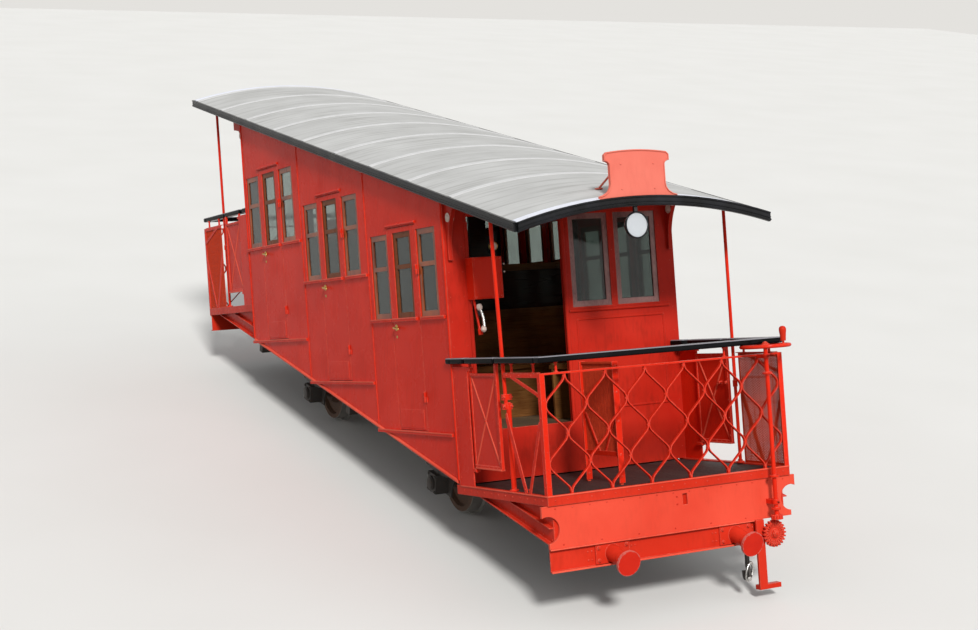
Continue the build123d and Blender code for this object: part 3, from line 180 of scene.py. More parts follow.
for name, station in AXLES.items():
    dress(wheel_finish(f"{name}_steel", station), name)


# Underframe, axle guards, axleboxes and springs: rolled channel and forgings, brushed with black frame paint and
# greyed by brake dust. The boxes have bolted lids and the springs a buckle, all hot-forged.
def frame_black():
    """Satin black paint on rolled steel: dull, dusty, with rust where it is rubbed through."""
    material, tree, shader, place = start_finish("black_frame_paint")
    dust = add_node(tree, "TexNoise", {"Vector": place, "Scale": 1 / 0.12, "Detail": 6.0})
    dusty = add_node(tree, "Mix", {0: dust, 6: "#1b1918", 7: "#453f3a"}, data_type="RGBA")
    specks = add_node(tree, "TexNoise", {"Vector": place, "Scale": 1 / 0.018, "Detail": 4.0})
    where = add_node(tree, "MapRange", {0: specks, 1: 0.62, 2: 0.7, 3: 0.0, 4: 0.8})
    rusty = add_node(tree, "Mix", {0: where, 6: dusty, 7: "#5e3a25"}, data_type="RGBA")
    rough = add_node(tree, "MapRange", {0: dust, 1: 0.3, 2: 0.7, 3: 0.5, 4: 0.85})
    bump = add_node(tree, "Bump", {"Height": specks, "Strength": 0.2, "Distance": 0.002})
    fill(shader, {"Base Color": rusty, "Roughness": rough, "Normal": bump})
    return material


FRAME_BLACK = frame_black()
dress(FRAME_BLACK, "underframe", "axle_guards", "axleboxes", "leaf_springs", "coupling_hook", "rope_drawbar")


def turned(shape, base, foot, way, profile, sides):
    """Turned form on an axis: profile gives distance along the axis and radius, point by point."""
    way = Vector(way).normalized()
    first = way.orthogonal().normalized()
    if abs(way.z) < 0.9:
        first = way.cross(Vector((0, 0, 1))).normalized()
    second = way.cross(first)
    rings = []
    for reach, radius in profile:
        middle = Vector(foot) + way * reach
        if radius < 1e-6:
            rings.append([shape.verts.new(base @ middle)])
            continue
        ring = []
        for step in range(sides):
            angle = 2 * math.pi * step / sides
            beside = first * math.cos(angle) + second * math.sin(angle)
            ring.append(shape.verts.new(base @ (middle + beside * radius)))
        rings.append(ring)
    for low, high in zip(rings, rings[1:]):
        for step in range(sides):
            after = (step + 1) % sides
            # A point on the axis stands for a whole ring, so it comes only once in a face.
            corners = (low[step % len(low)], low[after % len(low)], high[after % len(high)], high[step % len(high)])
            shape.faces.new(list(dict.fromkeys(corners)))
    for ring in (rings[0], rings[-1]):
        if len(ring) > 2:
            shape.faces.new(ring)


def make_piece(name, shape, material, edge=0.0, steps=2, body="car_body"):
    """Turns drawn faces into one piece, rounds its edges, and fixes it to a body of the car."""
    bmesh.ops.recalc_face_normals(shape, faces=shape.faces)
    shape.transform(LEAN)
    mesh = bpy.data.meshes.new(name)
    shape.to_mesh(mesh)
    shape.free()
    mesh.shade_smooth()
    mesh.set_sharp_from_angle(angle=math.radians(38))
    mesh.materials.append(material)
    made = bpy.data.objects.new(name, mesh)
    bpy.context.scene.collection.objects.link(made)
    if edge:
        rounding = made.modifiers.new("rounded_edges", "BEVEL")
        rounding.width = edge
        rounding.segments = steps
        rounding.limit_method = "ANGLE"
        rounding.angle_limit = math.radians(40)
        rounding.harden_normals = False
    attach(made, body)
    return made


UP = Vector((0, 0, 1))
LEVEL = LEAN.inverted()
LID = [(0, 0.05), (0.006, 0.05), (0.012, 0.03), (0.014, 0)]
LID_BOLT = [(0, 0.011), (0.009, 0.011), (0.011, 0.008), (0.011, 0)]
BUCKLE_NUT = [(0, 0.01), (0.012, 0.01), (0.012, 0)]
CLIP_RIVET = [(0, 0.01), (0.004, 0.009), (0.007, 0)]
fittings = bmesh.new()
for station in AXLES.values():
    for side in (-1, 1):
        turned(fittings, LEVEL, (side * 0.848, station, AXLE_HEIGHT), (side, 0, 0), LID, 20)
        for along in (-0.058, 0.058):
            for rise in (-0.063, 0.063):
                turned(fittings, LEVEL, (side * 0.83, station + along, AXLE_HEIGHT + rise), (side, 0, 0), LID_BOLT, 6)
        for along in (-0.022, 0.022):
            for x in (0.722, 0.798):
                turned(fittings, LEVEL, (side * x, station + along, 0.43), UP, BUCKLE_NUT, 6)
        for along in (-0.2, -0.12, 0.12, 0.2):
            for z in (0.46, 0.5):
                turned(fittings, LEVEL, (side * 0.7, station + along, z), (-side, 0, 0), CLIP_RIVET, 8)
make_piece("running_gear_bolts", fittings, FRAME_BLACK, 0.001)


# Platform frames, outer channels, fascia and beams: rolled steel riveted up hot and painted with the same red
# enamel as the body, the frames and beams drawn a little darker as painted shade. Low down the enamel carries brake
# dust, and its paler arrises are partly worn to primer and partly painted highlight.
def red_enamel(name, low, high, grime, gloss, streak=0.25):
    """Coach enamel on steel: deep gloss, faint brush marks, cloudy reds, old grime, worn edges with painted
    highlight.
    """
    material, tree, shader, place = start_finish(name)
    cloud = add_node(tree, "TexNoise", {"Vector": place, "Scale": 1 / 0.7, "Detail": 3.0, "Roughness": 0.6})
    tone = add_node(tree, "MapRange", {0: cloud, 1: 0.3, 2: 0.7, 3: 0.0, 4: 1.0})
    reds = add_node(tree, "Mix", {0: tone, 6: low, 7: high}, data_type="RGBA")
    # Rain streaks about 25 mm apart, drawn three times as coarse as dust marks so that they show.
    runs = add_node(tree, "Mapping", {"Vector": place, "Scale": (40, 40, 1.6)})
    streaks = add_node(tree, "TexNoise", {"Vector": runs, "Scale": 1.0, "Detail": 4.0})
    patches = add_node(tree, "TexNoise", {"Vector": place, "Scale": 1 / 0.22, "Detail": 5.0})
    dirty = add_node(tree, "Math", {0: streaks, 1: patches}, operation="MULTIPLY")
    share = add_node(tree, "MapRange", {0: dirty, 1: 0.24, 2: 0.42, 3: 0.0, 4: streak})
    soiled = add_node(tree, "Mix", {0: share, 6: reds, 7: grime}, data_type="RGBA")
    # Rubbed and highlit edges: where the rounded normal leaves the flat one the paint is drawn paler, partly thin
    # worn paint and partly a painted highlight.
    rounded = add_node(tree, "Bevel", {"Radius": 0.006}, samples=4)
    flat = add_node(tree, "NewGeometry")
    same = add_node(tree, "VectorMath", {0: rounded, 1: flat.outputs["Normal"]}, operation="DOT_PRODUCT")
    edge = add_node(tree, "MapRange", {0: same, 1: 0.99, 2: 0.85, 3: 0.0, 4: 1.0})
    chips = add_node(tree, "TexNoise", {"Vector": place, "Scale": 1 / 0.03, "Detail": 3.0})
    worn_and_highlit_share = add_node(tree, "MapRange", {0: chips, 1: 0.42, 2: 0.62, 3: 0.4, 4: 0.9})
    rub_and_highlight = add_node(tree, "Math", {0: edge, 1: worn_and_highlit_share}, operation="MULTIPLY")
    rubbed_and_highlit = add_node(tree, "Mix", {0: rub_and_highlight, 6: soiled, 7: "#ec7d68"}, data_type="RGBA")
    rough = add_node(tree, "MapRange", {0: patches, 1: 0.3, 2: 0.75, 3: gloss, 4: gloss + 0.2})
    brush = add_node(tree, "Mapping", {"Vector": place, "Scale": (220, 220, 9)})
    marks = add_node(tree, "TexNoise", {"Vector": brush, "Scale": 1.0, "Detail": 2.0})
    waves = add_node(tree, "Math", {0: patches, 1: 3.0}, operation="MULTIPLY")
    relief = add_node(tree, "Math", {0: marks, 1: waves}, operation="ADD")
    bump = add_node(tree, "Bump", {"Height": relief, "Strength": 0.12, "Distance": 0.002, "Normal": rounded})
    fill(shader, {"Base Color": rubbed_and_highlit, "Roughness": rough, "Specular IOR Level": 0.04, "Coat Weight": 0.03,
                  "Coat Roughness": 0.1, "Normal": bump})
    return material


# Frames and beams: a darker copy of the body's red, painted shade for where they stand under the platform.
RED_FRAME = red_enamel("red_frame_enamel", "#bc2815", "#cc3320", "#74190c", 0.22, 0.18)
dress(RED_FRAME, "platform_frames", "buffer_beams", "buffer_housings", "guard_bracket")
# The fascia faces the sun and is drawn in a paler, chalkier red: painted sunlight and sheen.
dress(red_enamel("red_painted_sunlit_enamel", "#d1412e", "#dc4e39", "#a83a28", 0.24, 0.15), "fascia_board")
GRADE = math.tan(SLOPE)
HALF, PLATFORM, CAR_LENGTH = 1.04, 1.34, 7.075
FLAT = Matrix.Identity(4)
HIGH_END = Matrix.Translation((0, CAR_LENGTH, (CAR_LENGTH - PLATFORM) * GRADE)) @ Matrix.Rotation(math.pi, 4, "Z")
ENDS = (("front", FLAT), ("rear", HIGH_END))


def sill(y):
    """Height of the inclined bottom edge at a station along the car."""
    return (y - PLATFORM) * GRADE


def rivet(shape, base, spot, way, radius):
    """Hot-driven snap head: a low dome on the plate."""
    dome = [(radius * rise, radius * share) for rise, share in ((0.35, 0.86), (0.62, 0.45), (0.7, 0))]
    turned(shape, base, spot, way, [(-0.002, radius), *dome], 8)


def rivet_row(shape, base, first, pitch, count, way, radius):
    """Rivets in a straight row: the first spot, the pitch to the next, and how many."""
    for step in range(count):
        rivet(shape, base, [start + gap * step for start, gap in zip(first, pitch)], way, radius)


LEFT, RIGHT, OUT = Vector((-1, 0, 0)), Vector((1, 0, 0)), Vector((0, -1, 0))
CHANNEL_RUN = 0.12375
heads = bmesh.new()
for end, base in ENDS:
    rivet_row(heads, base, (-0.98, 0, -0.035), (0.098, 0, 0), 21, OUT, 0.006)
    for side in (-1, 1):
        rivet_row(heads, base, (side * HALF, 0.07, -0.035), (0, 0.11, 0), 12, (side, 0, 0), 0.006)
for y in (0.06, 5.79):
    for side in (-1, 1):
        foot = (side * 0.99, y, sill(y) + 0.03)
        rivet_row(heads, FLAT, foot, (0, CHANNEL_RUN, CHANNEL_RUN * GRADE), 9, (side, 0, 0), 0.007)
make_piece("frame_rivets", heads, RED_FRAME)

# Gusset plates: thin steel sheet cut to three corners, one on each side at both ends. Each closes the wedge between
# the outer channel and the frame rail above it, and is painted with them.
wedges = bmesh.new()
HIGH_START = CAR_LENGTH - PLATFORM
for y_near, y_far, level in ((0.036, 0.612, 0.0), (HIGH_START, CAR_LENGTH - 0.728, HIGH_START * GRADE)):
    for side in (-1, 1):
        corners = [(y_near, sill(y_near) + 0.12), (y_far, level - 0.069), (y_near, level - 0.069)]
        sheets = [[wedges.verts.new((side * x, y, z)) for y, z in corners] for x in (0.983, 0.9895)]
        for sheet in sheets:
            wedges.faces.new(sheet)
        for k in range(3):
            wedges.faces.new((sheets[0][k], sheets[0][(k + 1) % 3], sheets[1][(k + 1) % 3], sheets[1][k]))
make_piece("frame_gussets", wedges, RED_FRAME, 0.001)


# Fascia and beam fastenings: snap-headed rivets along the fascia's top and foot and beside its slot, rivets and
# bolts round each buffer housing, and at the high end those of the rope drawbar. All are painted with the beam.
def bolt(shape, base, spot, way, radius):
    """Six-sided bolt head on its washer."""
    turned(shape, base, spot, way, [(-0.002, radius * 1.5), (0.003, radius * 1.45), (0.003, radius * 0.4)], 16)
    turned(shape, base, spot, way, [(0.003, radius), (0.013, radius), (0.015, radius * 0.7), (0.015, 0)], 6)


FASCIA_FACE, BUFFER_X = 0.014, 0.53
beam_heads = bmesh.new()
rivet_row(beam_heads, FLAT, (-0.98, FASCIA_FACE, -0.092), (0.14, 0, 0), 15, OUT, 0.0065)
for z in (-0.12, -0.175):
    rivet(beam_heads, FLAT, (0.03, FASCIA_FACE, z), OUT, 0.009)
rivet_row(beam_heads, FLAT, (-0.93, FASCIA_FACE, -0.345), (0.31, 0, 0), 7, OUT, 0.0075)
for side in (-1, 1):
    for gap in (0.165, 0.195):
        for way in (-1, 1):
            for z in (-0.425, -0.485):
                rivet(beam_heads, FLAT, (side * BUFFER_X + way * gap, 0.04, z), OUT, 0.008)
    for way in (-1, 1):
        for z in (-0.408, -0.497):
            bolt(beam_heads, FLAT, (side * BUFFER_X + way * 0.115, 0.026, z), OUT, 0.011)
for x in (-0.06, 0.06, -0.3, 0.3, -0.9, 0.9):
    rivet(beam_heads, HIGH_END, (x, 0.04, -0.13), OUT, 0.008)
for x in (-0.055, 0.055):
    for z in (-0.21, -0.17):
        bolt(beam_heads, HIGH_END, (x, 0.028, z), OUT, 0.008)
make_piece("beam_rivets_and_bolts", beam_heads, RED_FRAME)

# Lips and backing plates: thin steel strips along the edges of beam, fascia and rail, drawn in a paler red that is
# partly rubbing by boots and partly painted highlight, and plates of sheet behind the fascia's slot and behind the
# scallops at its two ends.
BOX_FACES = ((0, 1, 3, 2), (4, 6, 7, 5), (0, 4, 5, 1), (2, 3, 7, 6), (0, 2, 6, 4), (1, 5, 7, 3))


def bar(shape, base, low, high):
    """Square bar between two opposite corners."""
    spots = [(x, y, z) for x in (low[0], high[0]) for y in (low[1], high[1]) for z in (low[2], high[2])]
    verts = [shape.verts.new(base @ Vector(spot)) for spot in spots]
    for face in BOX_FACES:
        shape.faces.new([verts[i] for i in face])


# A paler copy of the red for edge strips: wear from boots and hands, and painted highlight along the edges.
RED_RUBBED_AND_HIGHLIT = red_enamel("red_rubbed_and_highlit_edge_enamel", "#d6432e", "#e65c45", "#a83a28", 0.24, 0.2)
BEAM_END, RAIL_LIP = 0.765, (-0.009, 0.0015)
lips = bmesh.new()
bar(lips, FLAT, (-HALF, 0.004, -0.5365), (BEAM_END, 0.012, -0.5235))
bar(lips, FLAT, (-HALF, 0.006, -0.3795), (BEAM_END, 0.012, -0.3705))
bar(lips, FLAT, (-HALF, -0.005, RAIL_LIP[0]), (HALF, 0.002, RAIL_LIP[1]))
for side in (-1, 1):
    near, far = sorted((side * (HALF - 0.002), side * (HALF + 0.005)))
    bar(lips, FLAT, (near, 0.002, RAIL_LIP[0]), (far, PLATFORM - 0.01, RAIL_LIP[1]))
make_piece("front_frame_lips", lips, RED_RUBBED_AND_HIGHLIT, 0.002)
backing = bmesh.new()
bar(backing, FLAT, (0.055, 0.0355, -0.215), (0.145, 0.0395, -0.085))
for x in (-0.99, 0.94):
    bar(backing, FLAT, (x, 0.0365, -0.335), (x + 0.05, 0.0395, -0.137))
make_piece("fascia_slot_backing", backing, RED_FRAME, 0.001)


# Buffer heads: forged steel discs on a black-greased neck. The rims are knocked back to bare metal by years of
# meeting the stop, and the middle keeps its red.
def buffer_paint():
    """Red enamel on a forged disc, with a bare, scuffed rim and a greasy black neck behind it."""
    material, tree, shader, place = start_finish("scuffed_buffer_enamel")
    low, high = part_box("buffer_heads")
    neck, middle_z = low[1] + 0.0222, (low[2] + high[2]) / 2
    mirrored = add_node(tree, "VectorMath", {0: place}, operation="ABSOLUTE")
    centred = add_node(tree, "VectorMath", {0: mirrored, 1: (BUFFER_X, 0, middle_z)}, operation="SUBTRACT")
    disc = add_node(tree, "VectorMath", {0: centred, 1: (1, 0, 1)}, operation="MULTIPLY")
    radius = add_node(tree, "VectorMath", {0: disc}, operation="LENGTH")
    scuffs = add_node(tree, "TexNoise", {"Vector": place, "Scale": 1 / 0.02, "Detail": 5.0})
    torn = add_node(tree, "Math", {0: scuffs, 1: 0.03, 2: -0.015}, operation="MULTIPLY_ADD")
    reach = add_node(tree, "Math", {0: radius, 1: torn}, operation="ADD")
    rim = add_node(tree, "MapRange", {0: reach, 1: 0.0875, 2: 0.0905, 3: 0.0, 4: 0.3})
    cloud = add_node(tree, "TexNoise", {"Vector": place, "Scale": 1 / 0.08, "Detail": 4.0})
    reds = add_node(tree, "Mix", {0: cloud, 6: "#b81c0e", 7: "#cf2816"}, data_type="RGBA")
    bare = add_node(tree, "Mix", {0: rim, 6: reds, 7: "#b9a79c"}, data_type="RGBA")
    parts = add_node(tree, "SeparateXYZ", {0: place})
    behind = add_node(tree, "Math", {0: parts.outputs["Y"], 1: neck}, operation="GREATER_THAN")
    greased = add_node(tree, "Mix", {0: behind, 6: bare, 7: "#161413"}, data_type="RGBA")
    rough = add_node(tree, "MapRange", {0: scuffs, 1: 0.3, 2: 0.7, 3: 0.3, 4: 0.55})
    bump = add_node(tree, "Bump", {"Height": scuffs, "Strength": 0.15, "Distance": 0.001})
    fill(shader, {"Base Color": greased, "Roughness": rough, "Specular IOR Level": 0.12, "Normal": bump})
    return material


dress(buffer_paint(), "buffer_heads")


# Coupling shackle: a forged ring that hangs through the black hook below the beam, drawn long by its work, and
# the head of the pin in front of it. Its mate has polished it bright.
def clouded(name, low, high, size, detail, rough, relief, depth, extra=None):
    """A finish of two tones in clouds of one size, rougher and dented where the cloud is thick."""
    material, tree, shader, place = start_finish(name)
    cloud = add_node(tree, "TexNoise", {"Vector": place, "Scale": 1 / size, "Detail": detail})
    tones = add_node(tree, "Mix", {0: cloud, 6: low, 7: high}, data_type="RGBA")
    dulled = add_node(tree, "MapRange", {0: cloud, 1: 0.3, 2: 0.7, 3: rough[0], 4: rough[1]})
    dents = add_node(tree, "Bump", {"Height": cloud, "Strength": relief, "Distance": depth})
    fill(shader, {"Base Color": tones, "Roughness": dulled, "Normal": dents, **(extra or {})})
    return material


# Handled steel, ground bright on the outside: a grey mirror with fine scratches.
BRIGHT_STEEL = clouded("bright_forged_steel", "#8d8a86", "#c9c7c3", 0.012, 5, (0.22, 0.42), 0.1, 0.0005,
                       {"Metallic": 1})


def ring(shape, base, middle, way, radius, wire, sides, round_sides):
    """Round wire bent to a ring whose axis is way."""
    way = Vector(way).normalized()
    first = way.orthogonal().normalized()
    second = way.cross(first)
    loops = []
    for step in range(sides):
        angle = 2 * math.pi * step / sides
        outwards = first * math.cos(angle) + second * math.sin(angle)
        loops.append([])
        for k in range(round_sides):
            turn = 2 * math.pi * k / round_sides
            spot = Vector(middle) + outwards * (radius + wire * math.cos(turn)) + way * wire * math.sin(turn)
            loops[-1].append(shape.verts.new(base @ spot))
    for step, loop in enumerate(loops):
        after = loops[(step + 1) % sides]
        for k in range(round_sides):
            k2 = (k + 1) % round_sides
            shape.faces.new((loop[k], loop[k2], after[k2], after[k]))


shackle = bmesh.new()
long_ring = Matrix.Rotation(0.3, 4, "Y") @ Matrix.Diagonal((0.62, 1, 1.5, 1))
ring(shackle, Matrix.Translation((0.632, 0.03, -0.742)) @ long_ring, (0, 0, 0), (0, 1, 0), 0.042, 0.0095, 28, 8)
PIN_HEAD = [(0, 0.016), (0.014, 0.016), (0.018, 0.011), (0.018, 0)]
turned(shackle, FLAT, (0.612, 0.012, -0.79), OUT, PIN_HEAD, 20)
make_piece("coupling_shackle", shackle, BRIGHT_STEEL)


# Platform decks and compartment floors: oak boards nailed lengthwise to the bearers. The platforms are tarred black,
# with grit trodden into them, and the floors inside are bare and trodden brown.
def board_finish(name, low, high, width):
    """Boards with dark joints, each its own tone, with grain along it and a trodden sheen."""
    material, tree, shader, place = start_finish(name)
    parts = add_node(tree, "SeparateXYZ", {0: place})
    count = add_node(tree, "Math", {0: parts.outputs["X"], 1: 1 / width}, operation="MULTIPLY")
    index = add_node(tree, "Math", {0: count}, operation="FLOOR")
    inside = add_node(tree, "Math", {0: count}, operation="FRACT")
    centre = add_node(tree, "Math", {0: inside, 1: 0.5}, operation="SUBTRACT")
    distance = add_node(tree, "Math", {0: centre}, operation="ABSOLUTE")
    joint = add_node(tree, "MapRange", {0: distance, 1: 0.465, 2: 0.49, 3: 0.0, 4: 1.0})
    tone = add_node(tree, "TexWhiteNoise", {"W": index}, noise_dimensions="1D")
    fibres = add_node(tree, "Mapping", {"Vector": place, "Scale": (90, 5, 90)})
    grain = add_node(tree, "TexNoise", {"Vector": fibres, "Scale": 1.0, "Detail": 5.0, "Distortion": 0.4})
    shade = add_node(tree, "Math", {0: tone, 1: 0.35, 2: grain}, operation="MULTIPLY_ADD")
    shade = add_node(tree, "MapRange", {0: shade, 1: 0.3, 2: 0.95, 3: 0.0, 4: 1.0})
    wood = add_node(tree, "Mix", {0: shade, 6: low, 7: high}, data_type="RGBA")
    jointed = add_node(tree, "Mix", {0: joint, 6: wood, 7: "#0d0b0a"}, data_type="RGBA")
    rough = add_node(tree, "MapRange", {0: grain, 1: 0.3, 2: 0.7, 3: 0.55, 4: 0.8})
    depth = add_node(tree, "Math", {0: grain, 1: 0.2}, operation="MULTIPLY")
    depth = add_node(tree, "Math", {0: depth, 1: joint}, operation="SUBTRACT")
    bump = add_node(tree, "Bump", {"Height": depth, "Strength": 0.5, "Distance": 0.003})
    fill(shader, {"Base Color": jointed, "Roughness": rough, "Normal": bump})
    return material


dress(board_finish("tarred_deck_boards", "#141211", "#2f2a26", 0.12), "platform_decks")
dress(board_finish("trodden_oak_floor", "#4a3a2c", "#77603f", 0.11), "compartment_floors")

# Body sides: sheet steel on an ash frame, in red coach enamel. Half-round steel beads cover the joints, and small
# countersunk rivets show through the paint along the frame members behind.
RED_BODY = red_enamel("red_coach_enamel", "#cc230f", "#dc2d18", "#8a1c0e", 0.18, 0.15)
dress(RED_BODY, "body_side_left", "body_side_right", "side_mouldings")
COMPARTMENT = 1.465
STATIONS = [PLATFORM + COMPARTMENT * number for number in range(4)]
WINDOW, WINDOW_TALL, PILLAR, FIRST_WINDOW = 0.34, 0.69, 0.108, 0.155
DOOR_WIDE, DOOR_TOP, LEDGE = 0.53, 1.64, 0.905
ROOF_RADIUS, ROOF_CROWN, ROOF_THICK, ROOF_START = 3.82, 2.062, 0.038, 0.1


def floor_height(number):
    """Height of a compartment's floor."""
    return (number + 1) * COMPARTMENT * GRADE


def window_start(number, column):
    """Station of a window's downhill edge."""
    return STATIONS[number] + FIRST_WINDOW + (WINDOW + PILLAR) * column


def door_start(number):
    """Station of a side door's hinge edge: the door is centred on the middle window."""
    return window_start(number, 1) + WINDOW / 2 - DOOR_WIDE / 2


def roof_top(x, y, depth=0.0):
    """Height of the barrel roof at a place across and along the car, at a depth below its outside."""
    radius = ROOF_RADIUS - depth
    return ROOF_CROWN - depth - (radius - math.sqrt(radius ** 2 - x * x)) + (y - ROOF_START) * GRADE


def roof_under(y):
    """Underside of the roof where the body side meets it."""
    return roof_top(HALF, y, ROOF_THICK)


def bead(shape, base, start, stop, way, width, height, sides=6):
    """Half-round bead laid on a surface from one point to another, bulging along way."""
    start, stop, way = Vector(start), Vector(stop), Vector(way).normalized()
    beside = (stop - start).normalized().cross(way)
    rows = []
    for point in (start, stop):
        rows.append([])
        for k in range(sides + 1):
            angle = math.pi * k / sides
            rise = way * (math.sin(angle) * height - 0.001)
            rows[-1].append(shape.verts.new(base @ (point + beside * math.cos(angle) * width / 2 + rise)))
    for k in range(sides):
        shape.faces.new((rows[0][k], rows[0][k + 1], rows[1][k + 1], rows[1][k]))
    shape.faces.new((rows[0][0], rows[1][0], rows[1][sides], rows[0][sides]))
    for row in rows:
        shape.faces.new(row)


def stud_column(shape, face, y, low, high, way, radius):
    """Small rivets up a frame member, spread evenly about 190 mm apart."""
    count = round((high - low) / 0.19)
    rivet_row(shape, FLAT, (face, y, low), (0, 0, (high - low) / count), count + 1, way, radius)


beads = bmesh.new()
studs = bmesh.new()
# The bottom beads and ledge lips go in the paler red: wear and a painted highlight along the edges.
sill_lips = bmesh.new()
for side in (-1, 1):
    face = side * HALF
    way = (side, 0, 0)
    low_y, high_y = STATIONS[0] + 0.03, STATIONS[3] - 0.03
    bead(sill_lips, FLAT, *[(face, y, sill(y) + 0.016) for y in (low_y, high_y)], way, 0.03, 0.014)
    bead(beads, FLAT, *[(face, y, roof_under(y) - 0.03) for y in (low_y, high_y)], way, 0.034, 0.016)
    for y in (STATIONS[0] + 0.02, STATIONS[3] - 0.02):
        bead(beads, FLAT, (face, y, sill(y) + 0.03), (face, y, roof_under(y) - 0.03), way, 0.026, 0.01)
    for y in STATIONS[1:3]:
        bead(beads, FLAT, (face, y, sill(y) + 0.03), (face, y, roof_under(y) - 0.05), way, 0.022, 0.007)
    seams = [STATIONS[0] + 0.045, *[y + gap for y in STATIONS[1:3] for gap in (-0.022, 0.022)], STATIONS[3] - 0.045]
    for y in seams:
        stud_column(studs, face, y, sill(y) + 0.06, roof_under(y) - 0.08, way, 0.0055)
    foot = (face, low_y + 0.08, sill(low_y + 0.08) + 0.045)
    rivet_row(studs, FLAT, foot, (0, 0.16, 0.16 * GRADE), int((high_y - low_y) / 0.16), way, 0.005)
    for number in range(3):
        floor_z = floor_height(number)
        for column in (0, 2):
            start = window_start(number, column)
            for y in (start - 0.02, start + WINDOW + 0.02):
                rivet_row(studs, FLAT, (face, y, floor_z + LEDGE + 0.03), (0, 0, 0.155), 5, way, 0.0045)
            above = (face, start + 0.05, floor_z + LEDGE + WINDOW_TALL + 0.022)
            rivet_row(studs, FLAT, above, (0, 0.12, 0), 3, way, 0.0045)
        door, top = door_start(number), floor_z + DOOR_TOP
        for y in (door - 0.02, door + DOOR_WIDE + 0.02):
            stud_column(studs, face, y, max(sill(y) + 0.09, floor_z + 0.03), top, way, 0.0045)
        drip = [(face, y, top + 0.016) for y in (door - 0.012, door + DOOR_WIDE + 0.012)]
        bead(beads, FLAT, *drip, way, 0.024, 0.016)
make_piece("side_beads", beads, RED_BODY)
LIP_IN, LIP_OUT, SEAM = 1.0575, 1.0605, 0.014
for side in (-1, 1):
    for number in range(3):
        door, floor_z = door_start(number), floor_height(number)
        ledge = floor_z + LEDGE
        near, far = STATIONS[number] + (0.054 if number == 0 else SEAM), STATIONS[number + 1] - SEAM
        for low_y, high_y in ((near, door - 0.042), (door + DOOR_WIDE + 0.007, far)):
            bar(sill_lips, FLAT, (side * LIP_IN, low_y, ledge - 0.009), (side * LIP_OUT, high_y, ledge + 0.0015))
        bar(sill_lips, FLAT, (side * LIP_IN, near, floor_z - 0.012), (side * LIP_OUT, far, floor_z - 0.0015))
make_piece("side_sill_lips", sill_lips, RED_RUBBED_AND_HIGHLIT, 0.001)
make_piece("side_rivets", studs, RED_BODY)

# Bulkheads: the same sheet on ash, with a pressed margin round the panels below the windows and a jamb down each
# side of the doorway. They stand in the shade of the roof, and their duller, darker red is painted shade.
RED_SHADE = red_enamel("red_painted_shade_enamel", "#ad2014", "#c02d1e", "#6a1c10", 0.28, 0.3)
dress(RED_SHADE, "front_bulkhead", "rear_bulkhead", "roof_brackets")
trims = bmesh.new()
bulk_studs = bmesh.new()
# For each end: its base, its way across, the floor behind it, the ledge of its windows and the top of its doorway.
for base, flip, floor_z, ledge, top in ((FLAT, 1, floor_height(0), 1.29, 2.0), (HIGH_END, -1, 0.0, 0.96, 1.84)):
    for x in (-0.85, 0.0):
        bead(trims, base, (flip * x, PLATFORM, floor_z), (flip * x, PLATFORM, top), OUT, 0.034, 0.014)
    if base is FLAT:
        bead(trims, base, (-0.85, PLATFORM, 2.055), (0.0, PLATFORM, 2.055), OUT, 0.034, 0.014)
    bead(trims, base, (flip * 0.02, PLATFORM, ledge - 0.03), (flip * 0.96, PLATFORM, ledge - 0.03), OUT, 0.03, 0.016)
    low, high = floor_z + 0.08, ledge - 0.1
    for x in (0.09, 0.9):
        bead(trims, base, (flip * x, PLATFORM, low), (flip * x, PLATFORM, high), OUT, 0.02, 0.008)
    for z in (low, high):
        bead(trims, base, (flip * 0.09, PLATFORM, z), (flip * 0.9, PLATFORM, z), OUT, 0.02, 0.008)
    for x in (-1.015, -0.895, 1.0):
        rivet_row(bulk_studs, base, (flip * x, PLATFORM, 0.1), (0, 0, 0.19), 10, OUT, 0.005)
    for x in (0.03, 0.45, 0.91):
        rivet_row(bulk_studs, base, (flip * x, PLATFORM, ledge + 0.08), (0, 0, 0.18), 4, OUT, 0.0045)
make_piece("bulkhead_beads", trims, RED_SHADE)
make_piece("bulkhead_rivets", bulk_studs, RED_SHADE)

# Rosettes on the roof knees: small turned buttons of pale painted wood, one on each face of a knee and pinned through
# it. The knees at the uphill end sit lower over their platform, as the roof does there.
ROSETTE = [(-0.002, 0.036), (0.004, 0.036), (0.006, 0.029), (0.004, 0.023), (0.01, 0.017), (0.013, 0.007), (0.013, 0)]
# Cream oil paint: soft sheen, yellowed in the grooves.
CREAM = clouded("cream_rosette_paint", "#b89a8c", "#e2d0c4", 0.01, 4, (0.4, 0.6), 0.15, 0.001)
rosettes = bmesh.new()
for base, roof_z in ((FLAT, 2.19), (HIGH_END, 1.84)):
    for side in (-1, 1):
        for way in (-1, 1):
            spot = (side * 1.002 + way * 0.017, PLATFORM - 0.05, roof_z - 0.155)
            turned(rosettes, base, spot, (way, 0, 0), ROSETTE, 20)
make_piece("knee_rosettes", rosettes, CREAM)


